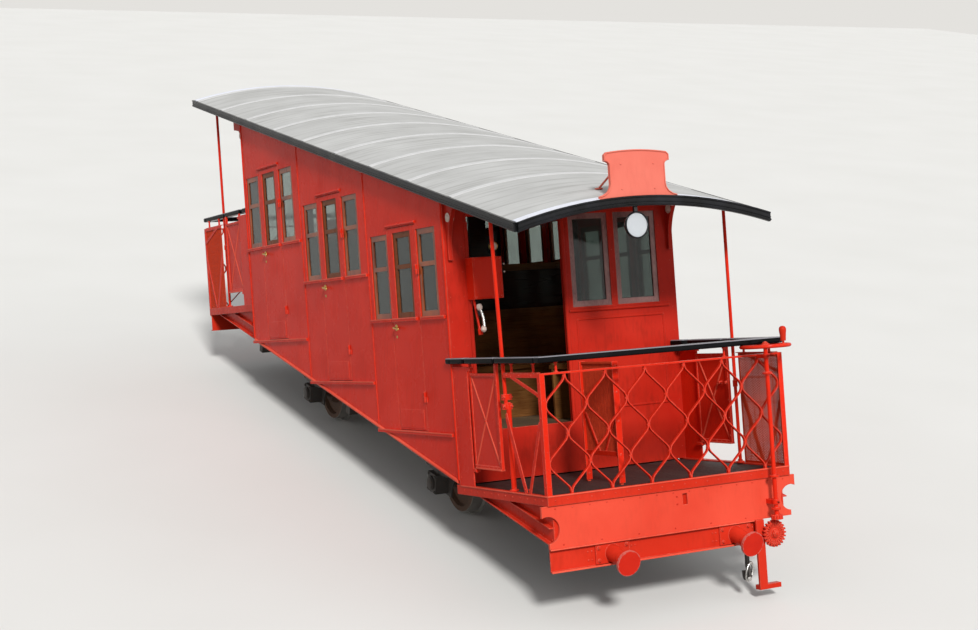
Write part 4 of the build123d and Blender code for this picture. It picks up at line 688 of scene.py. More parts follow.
# Sashes: varnished oak frames held in the openings by quarter-round beads, warm brown and glossy, with the
# varnish darker along the joints.
def varnished(name, low, high, along, shaded=None):
    """Spar varnish over brown hardwood: amber depth, straight grain, wet gloss."""
    material, tree, shader, place = start_finish(name)
    stretch = [110, 110, 110]
    stretch[along] = 7
    fibres = add_node(tree, "Mapping", {"Vector": place, "Scale": tuple(stretch)})
    grain = add_node(tree, "TexNoise", {"Vector": fibres, "Scale": 1.0, "Detail": 6.0, "Distortion": 0.8})
    tone = add_node(tree, "TexNoise", {"Vector": place, "Scale": 1 / 0.3, "Detail": 2.0})
    mixed = add_node(tree, "Math", {0: grain, 1: 0.6, 2: tone}, operation="MULTIPLY_ADD")
    shade = add_node(tree, "MapRange", {0: mixed, 1: 0.55, 2: 1.05, 3: 0.0, 4: 1.0})
    wood = add_node(tree, "Mix", {0: shade, 6: low, 7: high}, data_type="RGBA")
    if shaded:
        # The bulkhead sashes, inside the line of the walls, are drawn in a cold purple brown: painted shade of the
        # roof.
        parts = add_node(tree, "SeparateXYZ", {0: place})
        across = add_node(tree, "Math", {0: parts.outputs["X"]}, operation="ABSOLUTE")
        inner = add_node(tree, "Math", {0: across, 1: 0.98}, operation="LESS_THAN")
        shaded_browns = add_node(tree, "Mix", {0: shade, 6: shaded[0], 7: shaded[1]}, data_type="RGBA")
        wood = add_node(tree, "Mix", {0: inner, 6: wood, 7: shaded_browns}, data_type="RGBA")
    rough = add_node(tree, "MapRange", {0: grain, 1: 0.3, 2: 0.7, 3: 0.25, 4: 0.42})
    rounded = add_node(tree, "Bevel", {"Radius": 0.004}, samples=4)
    bump = add_node(tree, "Bump", {"Height": grain, "Strength": 0.1, "Distance": 0.001, "Normal": rounded})
    fill(shader, {"Base Color": wood, "Roughness": rough, "Specular IOR Level": 0.2, "Coat Weight": 0.15,
                  "Coat Roughness": 0.08, "Normal": bump})
    return material


# The last pair is the painted shade drawn on the bulkhead sashes.
SASH_WOOD = varnished("varnished_sash_oak", "#5c2410", "#a3542a", 2, ("#6b4340", "#a87a74"))
dress(SASH_WOOD, "window_sashes")


# Window glass: drawn sheet glass, faintly wavy, puttied into the sashes and into the lights of the side doors. It
# carries a thin film of road dust, and its dark grey-green tint is painted shade for the dim inside behind it.
def sheet_glass(name, tint, dust, clear=0.92, wave=0.06):
    """Old drawn glass: tinted, with slow waves and a film of dust; the dark window tint is painted shade."""
    material, tree, shader, place = start_finish(name)
    film = add_node(tree, "TexNoise", {"Vector": place, "Scale": 1 / 0.15, "Detail": 5.0})
    hazy = add_node(tree, "Mix", {0: film, 6: tint, 7: dust}, data_type="RGBA")
    rough = add_node(tree, "MapRange", {0: film, 1: 0.4, 2: 0.75, 3: 0.02, 4: 0.16})
    waves = add_node(tree, "TexNoise", {"Vector": place, "Scale": 1 / 0.2, "Detail": 1.0})
    bump = add_node(tree, "Bump", {"Height": waves, "Strength": wave, "Distance": 0.01})
    fill(shader, {"Base Color": hazy, "Roughness": rough, "IOR": 1.3, "Transmission Weight": clear, "Normal": bump})
    return material


DOORS = [f"{side}_{number}" for side in ("left", "right") for number in (1, 2, 3)]
DOOR_PANES = [f"door_glass_{name}" for name in DOORS]
# The window tint and dust are dark grey-green: painted shade for the dim inside.
dress(sheet_glass("drawn_window_glass", "#8e9a94", "#76807b"), "window_glass", *DOOR_PANES)


# Side doors: flat framed doors of the same sheet, with a varnished light above, a brass lever over a round key cover
# and a screwed kicking plate. Each is hung on its downhill edge.
def door_paint():
    """Red coach enamel on the door, with the varnished sash round its light left brown."""
    material = RED_BODY.copy()
    material.name = "red_door_enamel_and_sash"
    tree = material.node_tree
    shader = tree.nodes["Principled BSDF"]
    place = tree.nodes["Texture Coordinate"].outputs["Object"]
    parts = add_node(tree, "SeparateXYZ", {0: place})
    across = add_node(tree, "Math", {0: parts.outputs["X"]}, operation="ABSOLUTE")
    # The sash is set back 8 mm from the sheet, so what lies between these two distances from the middle is wood.
    sash_in, sash_out = 1.0065, 1.0335
    deep = add_node(tree, "Math", {0: across, 1: sash_out}, operation="LESS_THAN")
    shallow = add_node(tree, "Math", {0: across, 1: sash_in}, operation="GREATER_THAN")
    wood = add_node(tree, "Math", {0: deep, 1: shallow}, operation="MULTIPLY")
    fibres = add_node(tree, "Mapping", {"Vector": place, "Scale": (110, 110, 7)})
    grain = add_node(tree, "TexNoise", {"Vector": fibres, "Scale": 1.0, "Detail": 6.0})
    browns = add_node(tree, "Mix", {0: grain, 6: "#4a2413", 7: "#8a4d28"}, data_type="RGBA")
    painted = shader.inputs["Base Color"].links[0].from_socket
    both = add_node(tree, "Mix", {0: wood, 6: painted, 7: browns}, data_type="RGBA")
    fill(shader, {"Base Color": both})
    return material


dress(door_paint(), *[f"door_{name}" for name in DOORS])

# Cast brass, handled bright on the grip and brown in the corners.
BRASS = clouded("handled_cast_brass", "#8a6a34", "#d9b566", 0.02, 5, (0.2, 0.45), 0.1, 0.0005, {"Metallic": 1})
DOOR_FACE, DOOR_GAP, LOCK_UP = 1.0395, 0.008, 0.83
ROSE = [(0, 0.026), (0.004, 0.026), (0.008, 0.018), (0.01, 0.009), (0.03, 0.008), (0.034, 0.006), (0.034, 0)]
GRIP = [(0, 0.0), (0.002, 0.006), (0.02, 0.0075), (0.08, 0.0065), (0.105, 0.008), (0.112, 0.0)]
KEY_COVER = [(0, 0.012), (0.003, 0.012), (0.004, 0.004), (0.004, 0)]
for side, word in ((-1, "left"), (1, "right")):
    way = (side, 0, 0)
    for number in range(3):
        body = f"door_{word}_{number + 1}"
        start, floor_z = door_start(number), floor_height(number)
        free = start + DOOR_WIDE - DOOR_GAP
        lever = bmesh.new()
        grip_y, grip_z = free - 0.06, floor_z + LOCK_UP
        turned(lever, FLAT, (side * DOOR_FACE, grip_y, grip_z), way, ROSE, 20)
        turned(lever, FLAT, (side * 1.068, grip_y + 0.012, grip_z), (0, -1, -0.12), GRIP, 12)
        turned(lever, FLAT, (side * DOOR_FACE, grip_y, grip_z - 0.075), way, KEY_COVER, 14)
        make_piece(f"door_lever_{word}_{number + 1}", lever, BRASS, 0.0006, body=body)
        plate = bmesh.new()
        low, high = (side * DOOR_FACE, start + 0.05, floor_z + 0.02), (side * 1.043, free - 0.025, floor_z + 0.17)
        bar(plate, FLAT, low, high)
        for y in (start + 0.07, (start + free) / 2, free - 0.045):
            for z in (floor_z + 0.04, floor_z + 0.15):
                rivet(plate, FLAT, (side * 1.043, y, z), way, 0.005)
        for y in (start + 0.035, free - 0.018):
            for first, count in ((0.22, 3), (0.83, 5)):
                rivet_row(plate, FLAT, (side * HALF, y, floor_z + first), (0, 0, 0.19), count, way, 0.0045)
        for z in (0.291, 1.301):
            for rise in (-0.012, 0.012):
                rivet(plate, FLAT, (side * 1.048, start + 0.024, floor_z + z + rise), way, 0.004)
        make_piece(f"door_plate_{word}_{number + 1}", plate, RED_BODY, 0.0008, body=body)
        # The lip along the door's ledge is in the paler red: wear and a painted highlight.
        lip = bmesh.new()
        low, high = (side * LIP_IN, start + 0.046, floor_z + 0.896), (side * LIP_OUT, free - 0.004, floor_z + 0.9065)
        bar(lip, FLAT, low, high)
        make_piece(f"door_lip_{word}_{number + 1}", lip, RED_RUBBED_AND_HIGHLIT, 0.001, body=body)


# Roof: tarred felt in sheets laid across the car and lapped downhill, tacked over a boarded barrel. It has gone
# grey, with paler laps where the tar has weathered, and a zinc drip strip along each end.
def felt():
    """Weathered grey roofing felt: matt, gritty, stained in runs down the barrel."""
    material, tree, shader, place = start_finish("weathered_roof_felt")
    cloud = add_node(tree, "TexNoise", {"Vector": place, "Scale": 1 / 0.45, "Detail": 6.0})
    greys = add_node(tree, "Mix", {0: cloud, 6: "#a09f9c", 7: "#c8c7c4"}, data_type="RGBA")
    down = add_node(tree, "Mapping", {"Vector": place, "Scale": (1.4, 28, 1.4)})
    runs = add_node(tree, "TexNoise", {"Vector": down, "Scale": 1.0, "Detail": 5.0})
    share = add_node(tree, "MapRange", {0: runs, 1: 0.5, 2: 0.72, 3: 0.0, 4: 0.5})
    stained = add_node(tree, "Mix", {0: share, 6: greys, 7: "#77746f"}, data_type="RGBA")
    rough = add_node(tree, "MapRange", {0: cloud, 1: 0.3, 2: 0.7, 3: 0.75, 4: 0.92})
    # Mineral grit is under a millimetre and is drawn at 4 mm so that it shows.
    grit = add_node(tree, "TexNoise", {"Vector": place, "Scale": 1 / 0.004, "Detail": 3.0})
    bump = add_node(tree, "Bump", {"Height": grit, "Strength": 0.35, "Distance": 0.001})
    fill(shader, {"Base Color": stained, "Roughness": rough, "Normal": bump})
    return material


dress(felt(), "roof")
ROOF_HALF, ROOF_END = 1.08, CAR_LENGTH - ROOF_START


def over_roof(shape, near, far, proud, steps=18, sunk=0.004):
    """Band across the barrel between two stations, sunk a little in the felt and standing proud of it."""
    across = [ROOF_HALF * (2 * k / steps - 1) for k in range(steps + 1)]
    rows = []
    for y, lift in ((near, -sunk), (near, proud), (far, proud), (far, -sunk)):
        rows.append([shape.verts.new((x, y, roof_top(x, y) + lift)) for x in across])
    for low, high in zip(rows, rows[1:] + rows[:1]):
        for k in range(steps):
            shape.faces.new((low[k], low[k + 1], high[k + 1], high[k]))
    for k in (0, steps):
        shape.faces.new([row[k] for row in rows])


# Weathered tar: lighter and smoother than the sheet, clouded and pitted.
FELT_LAP = clouded("weathered_felt_lap", "#b3b2b0", "#d6d5d4", 0.08, 6, (0.6, 0.8), 0.3, 0.002)
FIRST_LAP, SHEET, LAP, STRIP = 1.08, 0.72, 0.055, 0.06
laps = bmesh.new()
for number in range(9):
    lap = FIRST_LAP + SHEET * number
    over_roof(laps, lap, lap + LAP, 0.0035)
make_piece("roof_felt_laps", laps, FELT_LAP)
# Rolled zinc gone dull: pale, cool and matt.
ZINC = clouded("dull_rolled_zinc", "#c9cad2", "#e2e3ea", 0.08, 6, (0.6, 0.8), 0.3, 0.002)
strips = bmesh.new()
over_roof(strips, ROOF_START + 0.001, ROOF_START + STRIP, 0.004)
over_roof(strips, ROOF_END - STRIP, ROOF_END - 0.001, 0.004)
make_piece("roof_drip_strips", strips, ZINC)


# Valances and eave boards: ash boards under gloss black, bent to the barrel at the ends and straight along the
# eaves. A double bead runs along each lower edge and a single one along the top.
def gloss_black(name, dust, gloss, bloomed=0.55, sheen=0.14, arris=None):
    """Gloss black enamel: near-mirror on top, with a bloom of dust and fine wipe marks."""
    material, tree, shader, place = start_finish(name)
    bloom = add_node(tree, "TexNoise", {"Vector": place, "Scale": 1 / 0.18, "Detail": 5.0})
    share = add_node(tree, "MapRange", {0: bloom, 1: 0.4, 2: 0.75, 3: 0.0, 4: bloomed})
    blacks = add_node(tree, "Mix", {0: share, 6: "#0b0b0c", 7: dust}, data_type="RGBA")
    if arris:
        # The rounding along the top is drawn grey: partly rubbed by hands and sleeves, and partly a painted highlight
        # from the sky. The flats are left black.
        facing = add_node(tree, "NewGeometry").outputs["True Normal"]
        upward = add_node(tree, "VectorMath", {0: facing, 1: CAR_UP}, operation="DOT_PRODUCT")
        turning = add_node(tree, "MapRange", {0: upward, 1: 0.3, 2: 0.55, 3: 0.0, 4: 0.85})
        flat = add_node(tree, "MapRange", {0: upward, 1: 0.985, 2: 0.999, 3: 1.0, 4: 0.35})
        rubbed_and_highlit = add_node(tree, "Math", {0: turning, 1: flat}, operation="MULTIPLY")
        blacks = add_node(tree, "Mix", {0: rubbed_and_highlit, 6: blacks, 7: arris}, data_type="RGBA")
    rough = add_node(tree, "MapRange", {0: bloom, 1: 0.3, 2: 0.7, 3: gloss, 4: gloss + 0.18})
    rounded = add_node(tree, "Bevel", {"Radius": 0.005}, samples=4)
    wipe = add_node(tree, "TexNoise", {"Vector": place, "Scale": 1 / 0.01, "Detail": 2.0})
    bump = add_node(tree, "Bump", {"Height": wipe, "Strength": 0.05, "Distance": 0.001, "Normal": rounded})
    fill(shader, {"Base Color": blacks, "Roughness": rough, "Specular IOR Level": sheen, "Coat Weight": 0.1,
                  "Coat Roughness": 0.05, "Normal": bump})
    return material


CAR_UP = LEAN.to_3x3() @ Vector((0, 0, 1))
EAVE_BLACK = gloss_black("gloss_black_eave_enamel", "#2c2d33", 0.24)
dress(EAVE_BLACK, "roof_edging")
edge_beads = bmesh.new()
ARC_STEPS = 20
across = [ROOF_HALF * (2 * k / ARC_STEPS - 1) for k in range(ARC_STEPS + 1)]
for y, way in ((ROOF_START, -1), (ROOF_END, 1)):
    for drop, width, proud in ((0.066, 0.015, 0.011), (0.045, 0.009, 0.006), (0.008, 0.018, 0.009)):
        arc = [(x, y + way * 0.022, roof_top(x, y) - drop) for x in across]
        for first, last in zip(arc, arc[1:]):
            bead(edge_beads, FLAT, first, last, (0, way, 0), width, proud, 5)
for side in (-1, 1):
    edge = roof_top(ROOF_HALF, ROOF_START)
    for drop, width, proud in ((0.058, 0.014, 0.008), (0.038, 0.008, 0.005), (0.007, 0.014, 0.006)):
        low = (side * 1.104, ROOF_START, edge - drop)
        high = (side * 1.104, ROOF_END, edge - drop + (ROOF_END - ROOF_START) * GRADE)
        bead(edge_beads, FLAT, low, high, (side, 0, 0), width, proud, 5)
make_piece("eave_beads", edge_beads, EAVE_BLACK)

# Number board: a shaped sheet-steel plate left blank, in a pale salmon red that is painted sunlight, with its edge
# rolled over a wire. Two screws on each side hold it to round stays that stand on the roof behind it.
BOARD_X = -0.058
RED_SIGN = red_enamel("red_sign_enamel", "#d66a5a", "#e27a68", "#a8483a", 0.3, 0.12)
dress(RED_SIGN, "roof_board")
half_line = [(0.333, 0.004), (0.297, 0.014), (0.261, 0.036), (0.241, 0.064), (0.235, 0.096), (0.235, 0.233),
             (0.239, 0.245), (0.247, 0.252), (0.258, 0.259), (0.276, 0.262), (0.276, 0.3),
             (0.255, 0.318), (0.17, 0.3275), (0.085, 0.333), (0, 0.335)]
outline = [(BOARD_X + x, z) for x, z in half_line] + [(BOARD_X - x, z) for x, z in reversed(half_line[:-1])]


def wire_line(shape, base, points, radius, sides):
    """Round wire that follows points, mitred at each turn."""
    loops = []
    count = len(points)
    for index, point in enumerate(points):
        before, after = Vector(points[max(index - 1, 0)]), Vector(points[min(index + 1, count - 1)])
        way = (after - before).normalized()
        first = way.cross(Vector((0, 1, 0)))
        if first.length < 0.1:
            first = way.cross(Vector((0, 0, 1)))
        first.normalize()
        second = way.cross(first)
        loops.append([])
        for k in range(sides):
            angle = 2 * math.pi * k / sides
            beside = first * math.cos(angle) + second * math.sin(angle)
            loops[-1].append(shape.verts.new(base @ (Vector(point) + beside * radius)))
    for low, high in zip(loops, loops[1:]):
        for k in range(sides):
            k2 = (k + 1) % sides
            shape.faces.new((low[k], low[k2], high[k2], high[k]))
    shape.faces.new(loops[0])
    shape.faces.new(loops[-1])


board_edge = bmesh.new()
STAY_FOOT = [(-0.006, 0.03), (0.004, 0.03), (0.007, 0.012), (0.008, 0)]
for y in (0.0985, 0.1215):
    edge_line = [(x * 0.985 + BOARD_X * 0.015, y, ROOF_CROWN + z - 0.006) for x, z in outline]
    wire_line(board_edge, FLAT, edge_line, 0.0055, 6)
for side in (-1, 1):
    stay_x = BOARD_X + side * 0.14
    foot = (stay_x, 0.42, roof_top(0.2, 0.42) + 0.004)
    wire_line(board_edge, FLAT, [(stay_x, 0.122, ROOF_CROWN + 0.23), foot], 0.008, 8)
    turned(board_edge, FLAT, foot, UP, STAY_FOOT, 14)
    for z in (0.23, 0.05):
        rivet(board_edge, FLAT, (stay_x, 0.1, ROOF_CROWN + z), OUT, 0.008)
make_piece("roof_board_edge", board_edge, RED_SIGN)


# Headlamp: a spun bowl in nickel plate on a black hanger under the roof's front edge. Frosted domed glass closes it,
# held by a dark rolled rim, with a bulb in its holder behind.
def nickel():
    """Spun nickel plate: bright and warm grey, hazed by touch, with the hanger above the bowl in black enamel."""
    material, tree, shader, place = start_finish("spun_nickel_plate")
    haze = add_node(tree, "TexNoise", {"Vector": place, "Scale": 1 / 0.07, "Detail": 3.0})
    greys = add_node(tree, "Mix", {0: haze, 6: "#c4c2be", 7: "#e9e7e3"}, data_type="RGBA")
    heights = add_node(tree, "VectorMath", {0: place, 1: CAR_UP}, operation="DOT_PRODUCT")
    bowl_top = (LEAN @ LAMP).dot(CAR_UP) + 0.094
    hanger = add_node(tree, "Math", {0: heights, 1: bowl_top}, operation="GREATER_THAN")
    finish = add_node(tree, "Mix", {0: hanger, 6: greys, 7: "#151414"}, data_type="RGBA")
    plated = add_node(tree, "Math", {0: 1.0, 1: hanger}, operation="SUBTRACT")
    rough = add_node(tree, "MapRange", {0: haze, 1: 0.3, 2: 0.7, 3: 0.12, 4: 0.26})
    bump = add_node(tree, "Bump", {"Height": haze, "Strength": 0.04, "Distance": 0.0005})
    fill(shader, {"Base Color": finish, "Metallic": plated, "Roughness": rough, "Normal": bump})
    return material


LAMP = Vector((-0.06, 0.15, 1.854))
dress(nickel(), "headlamp_shell")
dress(sheet_glass("headlamp_glass_frosted", "#f0f3f5", "#d9dde2", 0.5, 0.01), "headlamp_glass")
rim = bmesh.new()
ring(rim, FLAT, LAMP + Vector((0, 0.001, 0)), (0, 1, 0), 0.093, 0.0055, 40, 10)
ring(rim, FLAT, LAMP + Vector((0, 0.013, 0)), (0, 1, 0), 0.0945, 0.003, 40, 6)
make_piece("headlamp_rim", rim, EAVE_BLACK)
bulb = bmesh.new()
BULB = [(0, 0.016), (0.012, 0.016), (0.018, 0.012), (0.024, 0.017), (0.036, 0.019), (0.048, 0.013), (0.053, 0)]
turned(bulb, FLAT, LAMP + Vector((0, 0.078, 0)), OUT, BULB, 20)
make_piece("headlamp_bulb", bulb, CREAM)

# Lattice railings: flat iron on edge, bent to waves and riveted where the waves touch, between a bottom angle and
# a top rail. All of it is red enamel, thick in the corners and rubbed through on the top rail; its paler edges are
# partly that wear and partly painted highlight.
dress(RED_BODY, "end_lattices", "corner_frames", "roof_posts", "hinge_brackets")
lattice_heads = bmesh.new()
PITCH, COLUMNS, STEM, RAIL_LOW = 1 / 3, 6, 0.01, 0.836
# On each side frame: the brace and the angle at its corner, the post, and the foot, along and up.
SIDE_HEADS = ((0.3, 0.835), (0.12, 0.835), (0.48, 0.835), (0.05, 0.69), (0.05, 0.5), (0.42, 0.83), (0.52, 0.53),
              (0.31, 0.03), (0.26, 0.03))
for end, base in ENDS:
    for node in range(5):
        z = {0: 0.024, 4: RAIL_LOW - 0.016}.get(node, STEM + (RAIL_LOW - 2 * STEM) / 4 * node)
        count = COLUMNS + node % 2
        for k in range(count):
            x = PITCH * (k - (count - 1) / 2)
            for way in (-1, 1):
                if abs(x + way * 0.008) < 1.0:
                    rivet(lattice_heads, base, (x + way * 0.0078, 0.0205, z), (way, 0, 0), 0.0075)
    rivet_row(lattice_heads, base, (-0.96, 0.004, 0.843), (0.16, 0, 0), 13, OUT, 0.0045)
    for side in (-1, 1):
        way = (side, 0, 0)
        for k in range(7):
            rivet(lattice_heads, base, (side * 1.018, 0.0, 0.06 + 0.12 * k), OUT, 0.005)
            rivet(lattice_heads, base, (side * HALF, 0.02, 0.06 + 0.12 * k), way, 0.005)
        for y, z in SIDE_HEADS:
            rivet(lattice_heads, base, (side * HALF, y, z), way, 0.006)
        for y in (1.125, 1.32):
            for z in (0.06, 0.25, 0.36, 0.44, 0.52, 0.65, 0.82):
                rivet(lattice_heads, base, (side * 1.038, y, z), way, 0.006)
make_piece("railing_rivets", lattice_heads, RED_BODY)

# Wire panels: stout crimped iron wire woven on the slant, 14 mm from wire to wire, brown with thin old paint, in the
# frame of the right-hand side and on the divider behind the driver.
WIRE_PITCH, WIRE = 0.02, 0.0053
# Thinly painted iron wire: brown-red, dull, rusty at the crimps.
WIRE_BROWN = clouded("brown_crimped_wire", "#a42a15", "#dc4c2c", 0.025, 4, (0.5, 0.75), 0.15, 0.001,
                     {"Specular IOR Level": 0.1})
dress(WIRE_BROWN, "side_lattices", "platform_dividers")


def slanted_wires(shape, base, x, low, high, pitch, wire):
    """Two sets of slanting square wires in an upright panel along the car, each cut at the panel's edges."""
    wide, tall = high[0] - low[0], high[1] - low[1]
    for way, offset in ((1, 0.0), (-1, wire * 1.2)):
        for step in range(int((wide + tall) / pitch) + 1):
            start = -tall + pitch * step
            first, last = max(start, 0.0), min(start + tall, wide)
            if last - first < 0.01:
                continue
            points = [(low[0] + (y if way > 0 else wide - y), low[1] + y - start) for y in (first, last)]
            (y1, z1), (y2, z2) = points
            beside = Vector((0, z2 - z1, y1 - y2)).normalized() * wire / 2
            verts = []
            for layer in (x + offset - wire / 2, x + offset + wire / 2):
                for y, z in points:
                    for sign in (-1, 1):
                        spot = Vector((layer, y + sign * beside.y, z + sign * beside.z))
                        verts.append(shape.verts.new(base @ spot))
            for face in BOX_FACES:
                shape.faces.new([verts[i] for i in face])


for end, base in ENDS:
    wires = bmesh.new()
    slanted_wires(wires, base, 1.0265, (0.056, 0.016), (0.52, 0.834), WIRE_PITCH, WIRE)
    slanted_wires(wires, base, -0.3, (0.233, 0.223), (0.667, 0.865), WIRE_PITCH, WIRE)
    make_piece(f"{end}_wire_panels", wires, WIRE_BROWN)

# Divider posts: flat iron bars riveted to the front of each upright of the divider, with a foot rail between them
# and a half-round brace that slants down to it from each post. They are painted body red beside the brown wire.
for end, base in ENDS:
    posts = bmesh.new()
    for y in (0.208, 0.668):
        bar(posts, base, (-0.325, y - 0.007, 0.002), (-0.275, y, 0.884))
        for z in (0.05, 0.21, 0.45, 0.66, 0.85):
            rivet(posts, base, (-0.3, y - 0.007, z), OUT, 0.007)
    bar(posts, base, (-0.314, 0.209, 0.193), (-0.3065, 0.66, 0.229))
    bead(posts, base, (-0.3065, 0.645, 0.5), (-0.3065, 0.47, 0.215), LEFT, 0.03, 0.008, 4)
    bead(posts, base, (-0.3065, 0.23, 0.5), (-0.3065, 0.4, 0.215), LEFT, 0.03, 0.008, 4)
    make_piece(f"{end}_divider_posts", posts, RED_BODY, 0.0015)

# Handrails: a rounded hardwood cap in gloss black, mitred at the corners and screwed down to short red stubs. Each
# top arris carries a long grey line, a painted highlight for the sky's reflection with some rubbing by hands.
RAIL_BLACK = gloss_black("gloss_black_handrail_enamel", "#1c1b1e", 0.12, 0.35, 0.01, "#8b888c")
CAP_LOW, CAP_TOP, CAP_WIDE = 0.923, 0.968, 0.08
CAP_OUT = {-1: HALF + 0.026, 1: HALF - 0.015}
GATE_AXIS, GATE_HINGE, GATE_START = HALF - 0.02, 1.085, 0.66
STUB_FOOT = 0.85
caps = bmesh.new()
stubs = bmesh.new()
STUB = [(0.0, 0.017), (0.006, 0.017), (0.009, 0.0095), (0.06, 0.0085), (0.066, 0.014), (0.0735, 0.014)]
for end, base in ENDS:
    bar(caps, base, (-CAP_OUT[-1], -0.05, CAP_LOW), (CAP_OUT[1], 0.03, CAP_TOP))
    for x in (-0.895, 0.53):
        turned(stubs, base, (x, 0.018, STUB_FOOT), UP, STUB, 16)
    for side in (-1, 1):
        near, far = sorted((side * CAP_OUT[side], side * (CAP_OUT[side] - CAP_WIDE)))
        bar(caps, base, (near, 0.0302, CAP_LOW), (far, 0.62, CAP_TOP))
        inner = GATE_AXIS - (CAP_OUT[side] - CAP_WIDE)
        tail = GATE_HINGE + math.sqrt(inner ** 2 + 0.012 ** 2) + 0.008
        bar(caps, base, (near, tail, CAP_LOW), (far, PLATFORM, CAP_TOP))
        for y in (0.12, 0.44):
            turned(stubs, base, (side * 1.018, y, STUB_FOOT), UP, STUB, 16)
    bar(caps, base, (-CAP_OUT[-1], PLATFORM - 0.001, CAP_LOW), (-HALF, PLATFORM + 0.075, CAP_TOP))
cap_piece = make_piece("handrail_caps", caps, RAIL_BLACK, 0.012, 4)
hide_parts("handrails")
make_piece("handrail_stubs", stubs, RED_BODY)

# Gates: a steel sheet in a flat-iron frame, crossed by two thin straps and closed by a slip bolt, with its own
# length of black cap. Each hangs in two lugs at the bulkhead end and swings inwards.
RED_GATE = red_enamel("red_gate_enamel", "#c42312", "#d42d1a", "#7c2012", 0.2, 0.2)
GATE_FOOT, GATE_TOP, PIN_FOOT = 0.145, 0.85, 0.105
HINGE_PIN = [(0, 0.0), (0, 0.009), (0.003, 0.011), (CAP_LOW - PIN_FOOT, 0.011), (CAP_LOW - PIN_FOOT, 0)]
SLIP_BOLT = [(0, 0.0), (0.002, 0.006), (0.13, 0.006), (0.132, 0)]
for end, base in ENDS:
    for side in (-1, 1):
        across = side if end == "front" else -side
        body = f"{end}_gate_{'left' if across < 0 else 'right'}"
        leaf = bmesh.new()
        straps = bmesh.new()
        x, low, high, near, far = side * GATE_AXIS, GATE_FOOT, GATE_TOP, GATE_START + 0.03, GATE_HINGE
        bar(leaf, base, (x - 0.002, GATE_START + 0.004, low + 0.002), (x + 0.002, far - 0.004, high - 0.002))
        bar(leaf, base, (x - 0.012, GATE_START, low), (x + 0.012, near, CAP_LOW))
        bar(leaf, base, (x - 0.012, near, low), (x + 0.012, far, low + 0.022))
        bar(leaf, base, (x - 0.012, near, high - 0.022), (x + 0.012, far, high))
        turned(leaf, base, (x, far, PIN_FOOT), UP, HINGE_PIN, 20)
        for way in (-1, 1):
            out, face = (way, 0, 0), x + way * 0.002
            for z1, z2 in ((low + 0.022, high - 0.022), (high - 0.022, low + 0.022)):
                bead(straps, base, (face, near, z1), (face, far - 0.01, z2), out, 0.02, 0.006, 4)
            for k in range(6):
                head, y = face + way * 0.01, GATE_START + 0.07 + 0.066 * k
                rivet(leaf, base, (head, GATE_START + 0.015, low + 0.06 + 0.14 * k), out, 0.005)
                rivet(leaf, base, (head, y, low + 0.011), out, 0.0045)
                rivet(leaf, base, (head, y, high - 0.011), out, 0.0045)
            rivet(leaf, base, (face + way * 0.004, (GATE_START + far) / 2 + 0.01, (low + high) / 2), out, 0.008)
        # Slip bolt on the inner face: a round rod in two staples.
        inside = x - side * 0.012
        turned(leaf, base, (inside - side * 0.008, GATE_START + 0.004, 0.62), (0, 1, 0), SLIP_BOLT, 12)
        x1, x2 = sorted((inside - side * 0.018, inside + side * 0.01))
        for y in (GATE_START + 0.02, GATE_START + 0.1):
            bar(leaf, base, (x1, y - 0.007, 0.608), (x2, y + 0.007, 0.632))
        bar(straps, base, (x - 0.017, GATE_START + 0.004, low - 0.006), (x + 0.017, far - 0.012, low + 0.006))
        # The straps and the foot strip are in the paler red: wear and a painted highlight.
        make_piece(f"{body}_straps", straps, RED_RUBBED_AND_HIGHLIT, 0.001, body=body)
        leaf_piece = make_piece(f"{body}_leaf", leaf, RED_GATE, 0.0015, body=body)
        cap = bmesh.new()
        x1, x2 = sorted((side * CAP_OUT[side], side * (CAP_OUT[side] - CAP_WIDE)))
        bar(cap, base, (x1, GATE_START - 0.02, CAP_LOW), (x2, GATE_HINGE + 0.012, CAP_TOP))
        gate_cap = make_piece(f"{body}_cap", cap, RAIL_BLACK, 0.012, 4, body=body)
        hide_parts(body)
        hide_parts(body)

# Post fittings: bolts through the split clamps, where the thin upper rod of each left post is held beside the lower
# one, small bolts through the foot plates on the platform, and collars on the lugs that hold the gates' hinge pins.
COLLAR = [(-0.001, 0.016), (0.003, 0.016), (0.004, 0.0112), (0.004, 0.011)]
clamps = bmesh.new()
for end, base in ENDS:
    for z in (0.611, 0.679):
        for x in (-1.04, -0.982):
            bolt(clamps, base, (x, 0.541, z), OUT, 0.008)
    for x in (-1.0, 1.0):
        for y in (0.53, 0.58):
            bolt(clamps, base, (x, y, 0.011), UP, 0.005)
    for z in (0.125, 0.882):
        for side in (-1, 1):
            turned(clamps, base, (side * GATE_AXIS, GATE_HINGE, z + 0.0125), UP, COLLAR, 20)
make_piece("post_clamp_bolts", clamps, RED_BODY)

# Hand brake: a forged wheel with an upright turned grip that swells towards its top, on a round shaft in front of
# the end railing. Its nut and washer, the nut and rivets of the gear below and the bolts of its brackets are forged
# iron under the same red.
dress(RED_FRAME, "hand_brake_gear")
dress(RED_BODY, "hand_brake_shaft", "hand_brake_brackets", "hand_brake_wheel")
BRAKE_X, BRAKE_Y, BRAKE_Z = 0.835, -0.08, 0.908
GEAR_Y, GEAR_Z, BRACKET_Y, RIVET_RING = -0.036, -0.48, -0.108, 0.056
GRIP_REACH, GRIP_TURN = 0.177, math.radians(-79)
WASHER = [(0, 0.03), (0.006, 0.026), (0.008, 0.02)]
WHEEL_NUT = [(0, 0.019), (0.009, 0.019), (0.011, 0.014), (0.011, 0.009), (0.014, 0.008), (0.015, 0)]
SWELLING_GRIP = [(0.034, 0), (0.034, 0.0205), (0.05, 0.0208), (0.085, 0.0235), (0.108, 0.0268), (0.124, 0.0264),
                 (0.135, 0.021), (0.141, 0.012), (0.143, 0)]
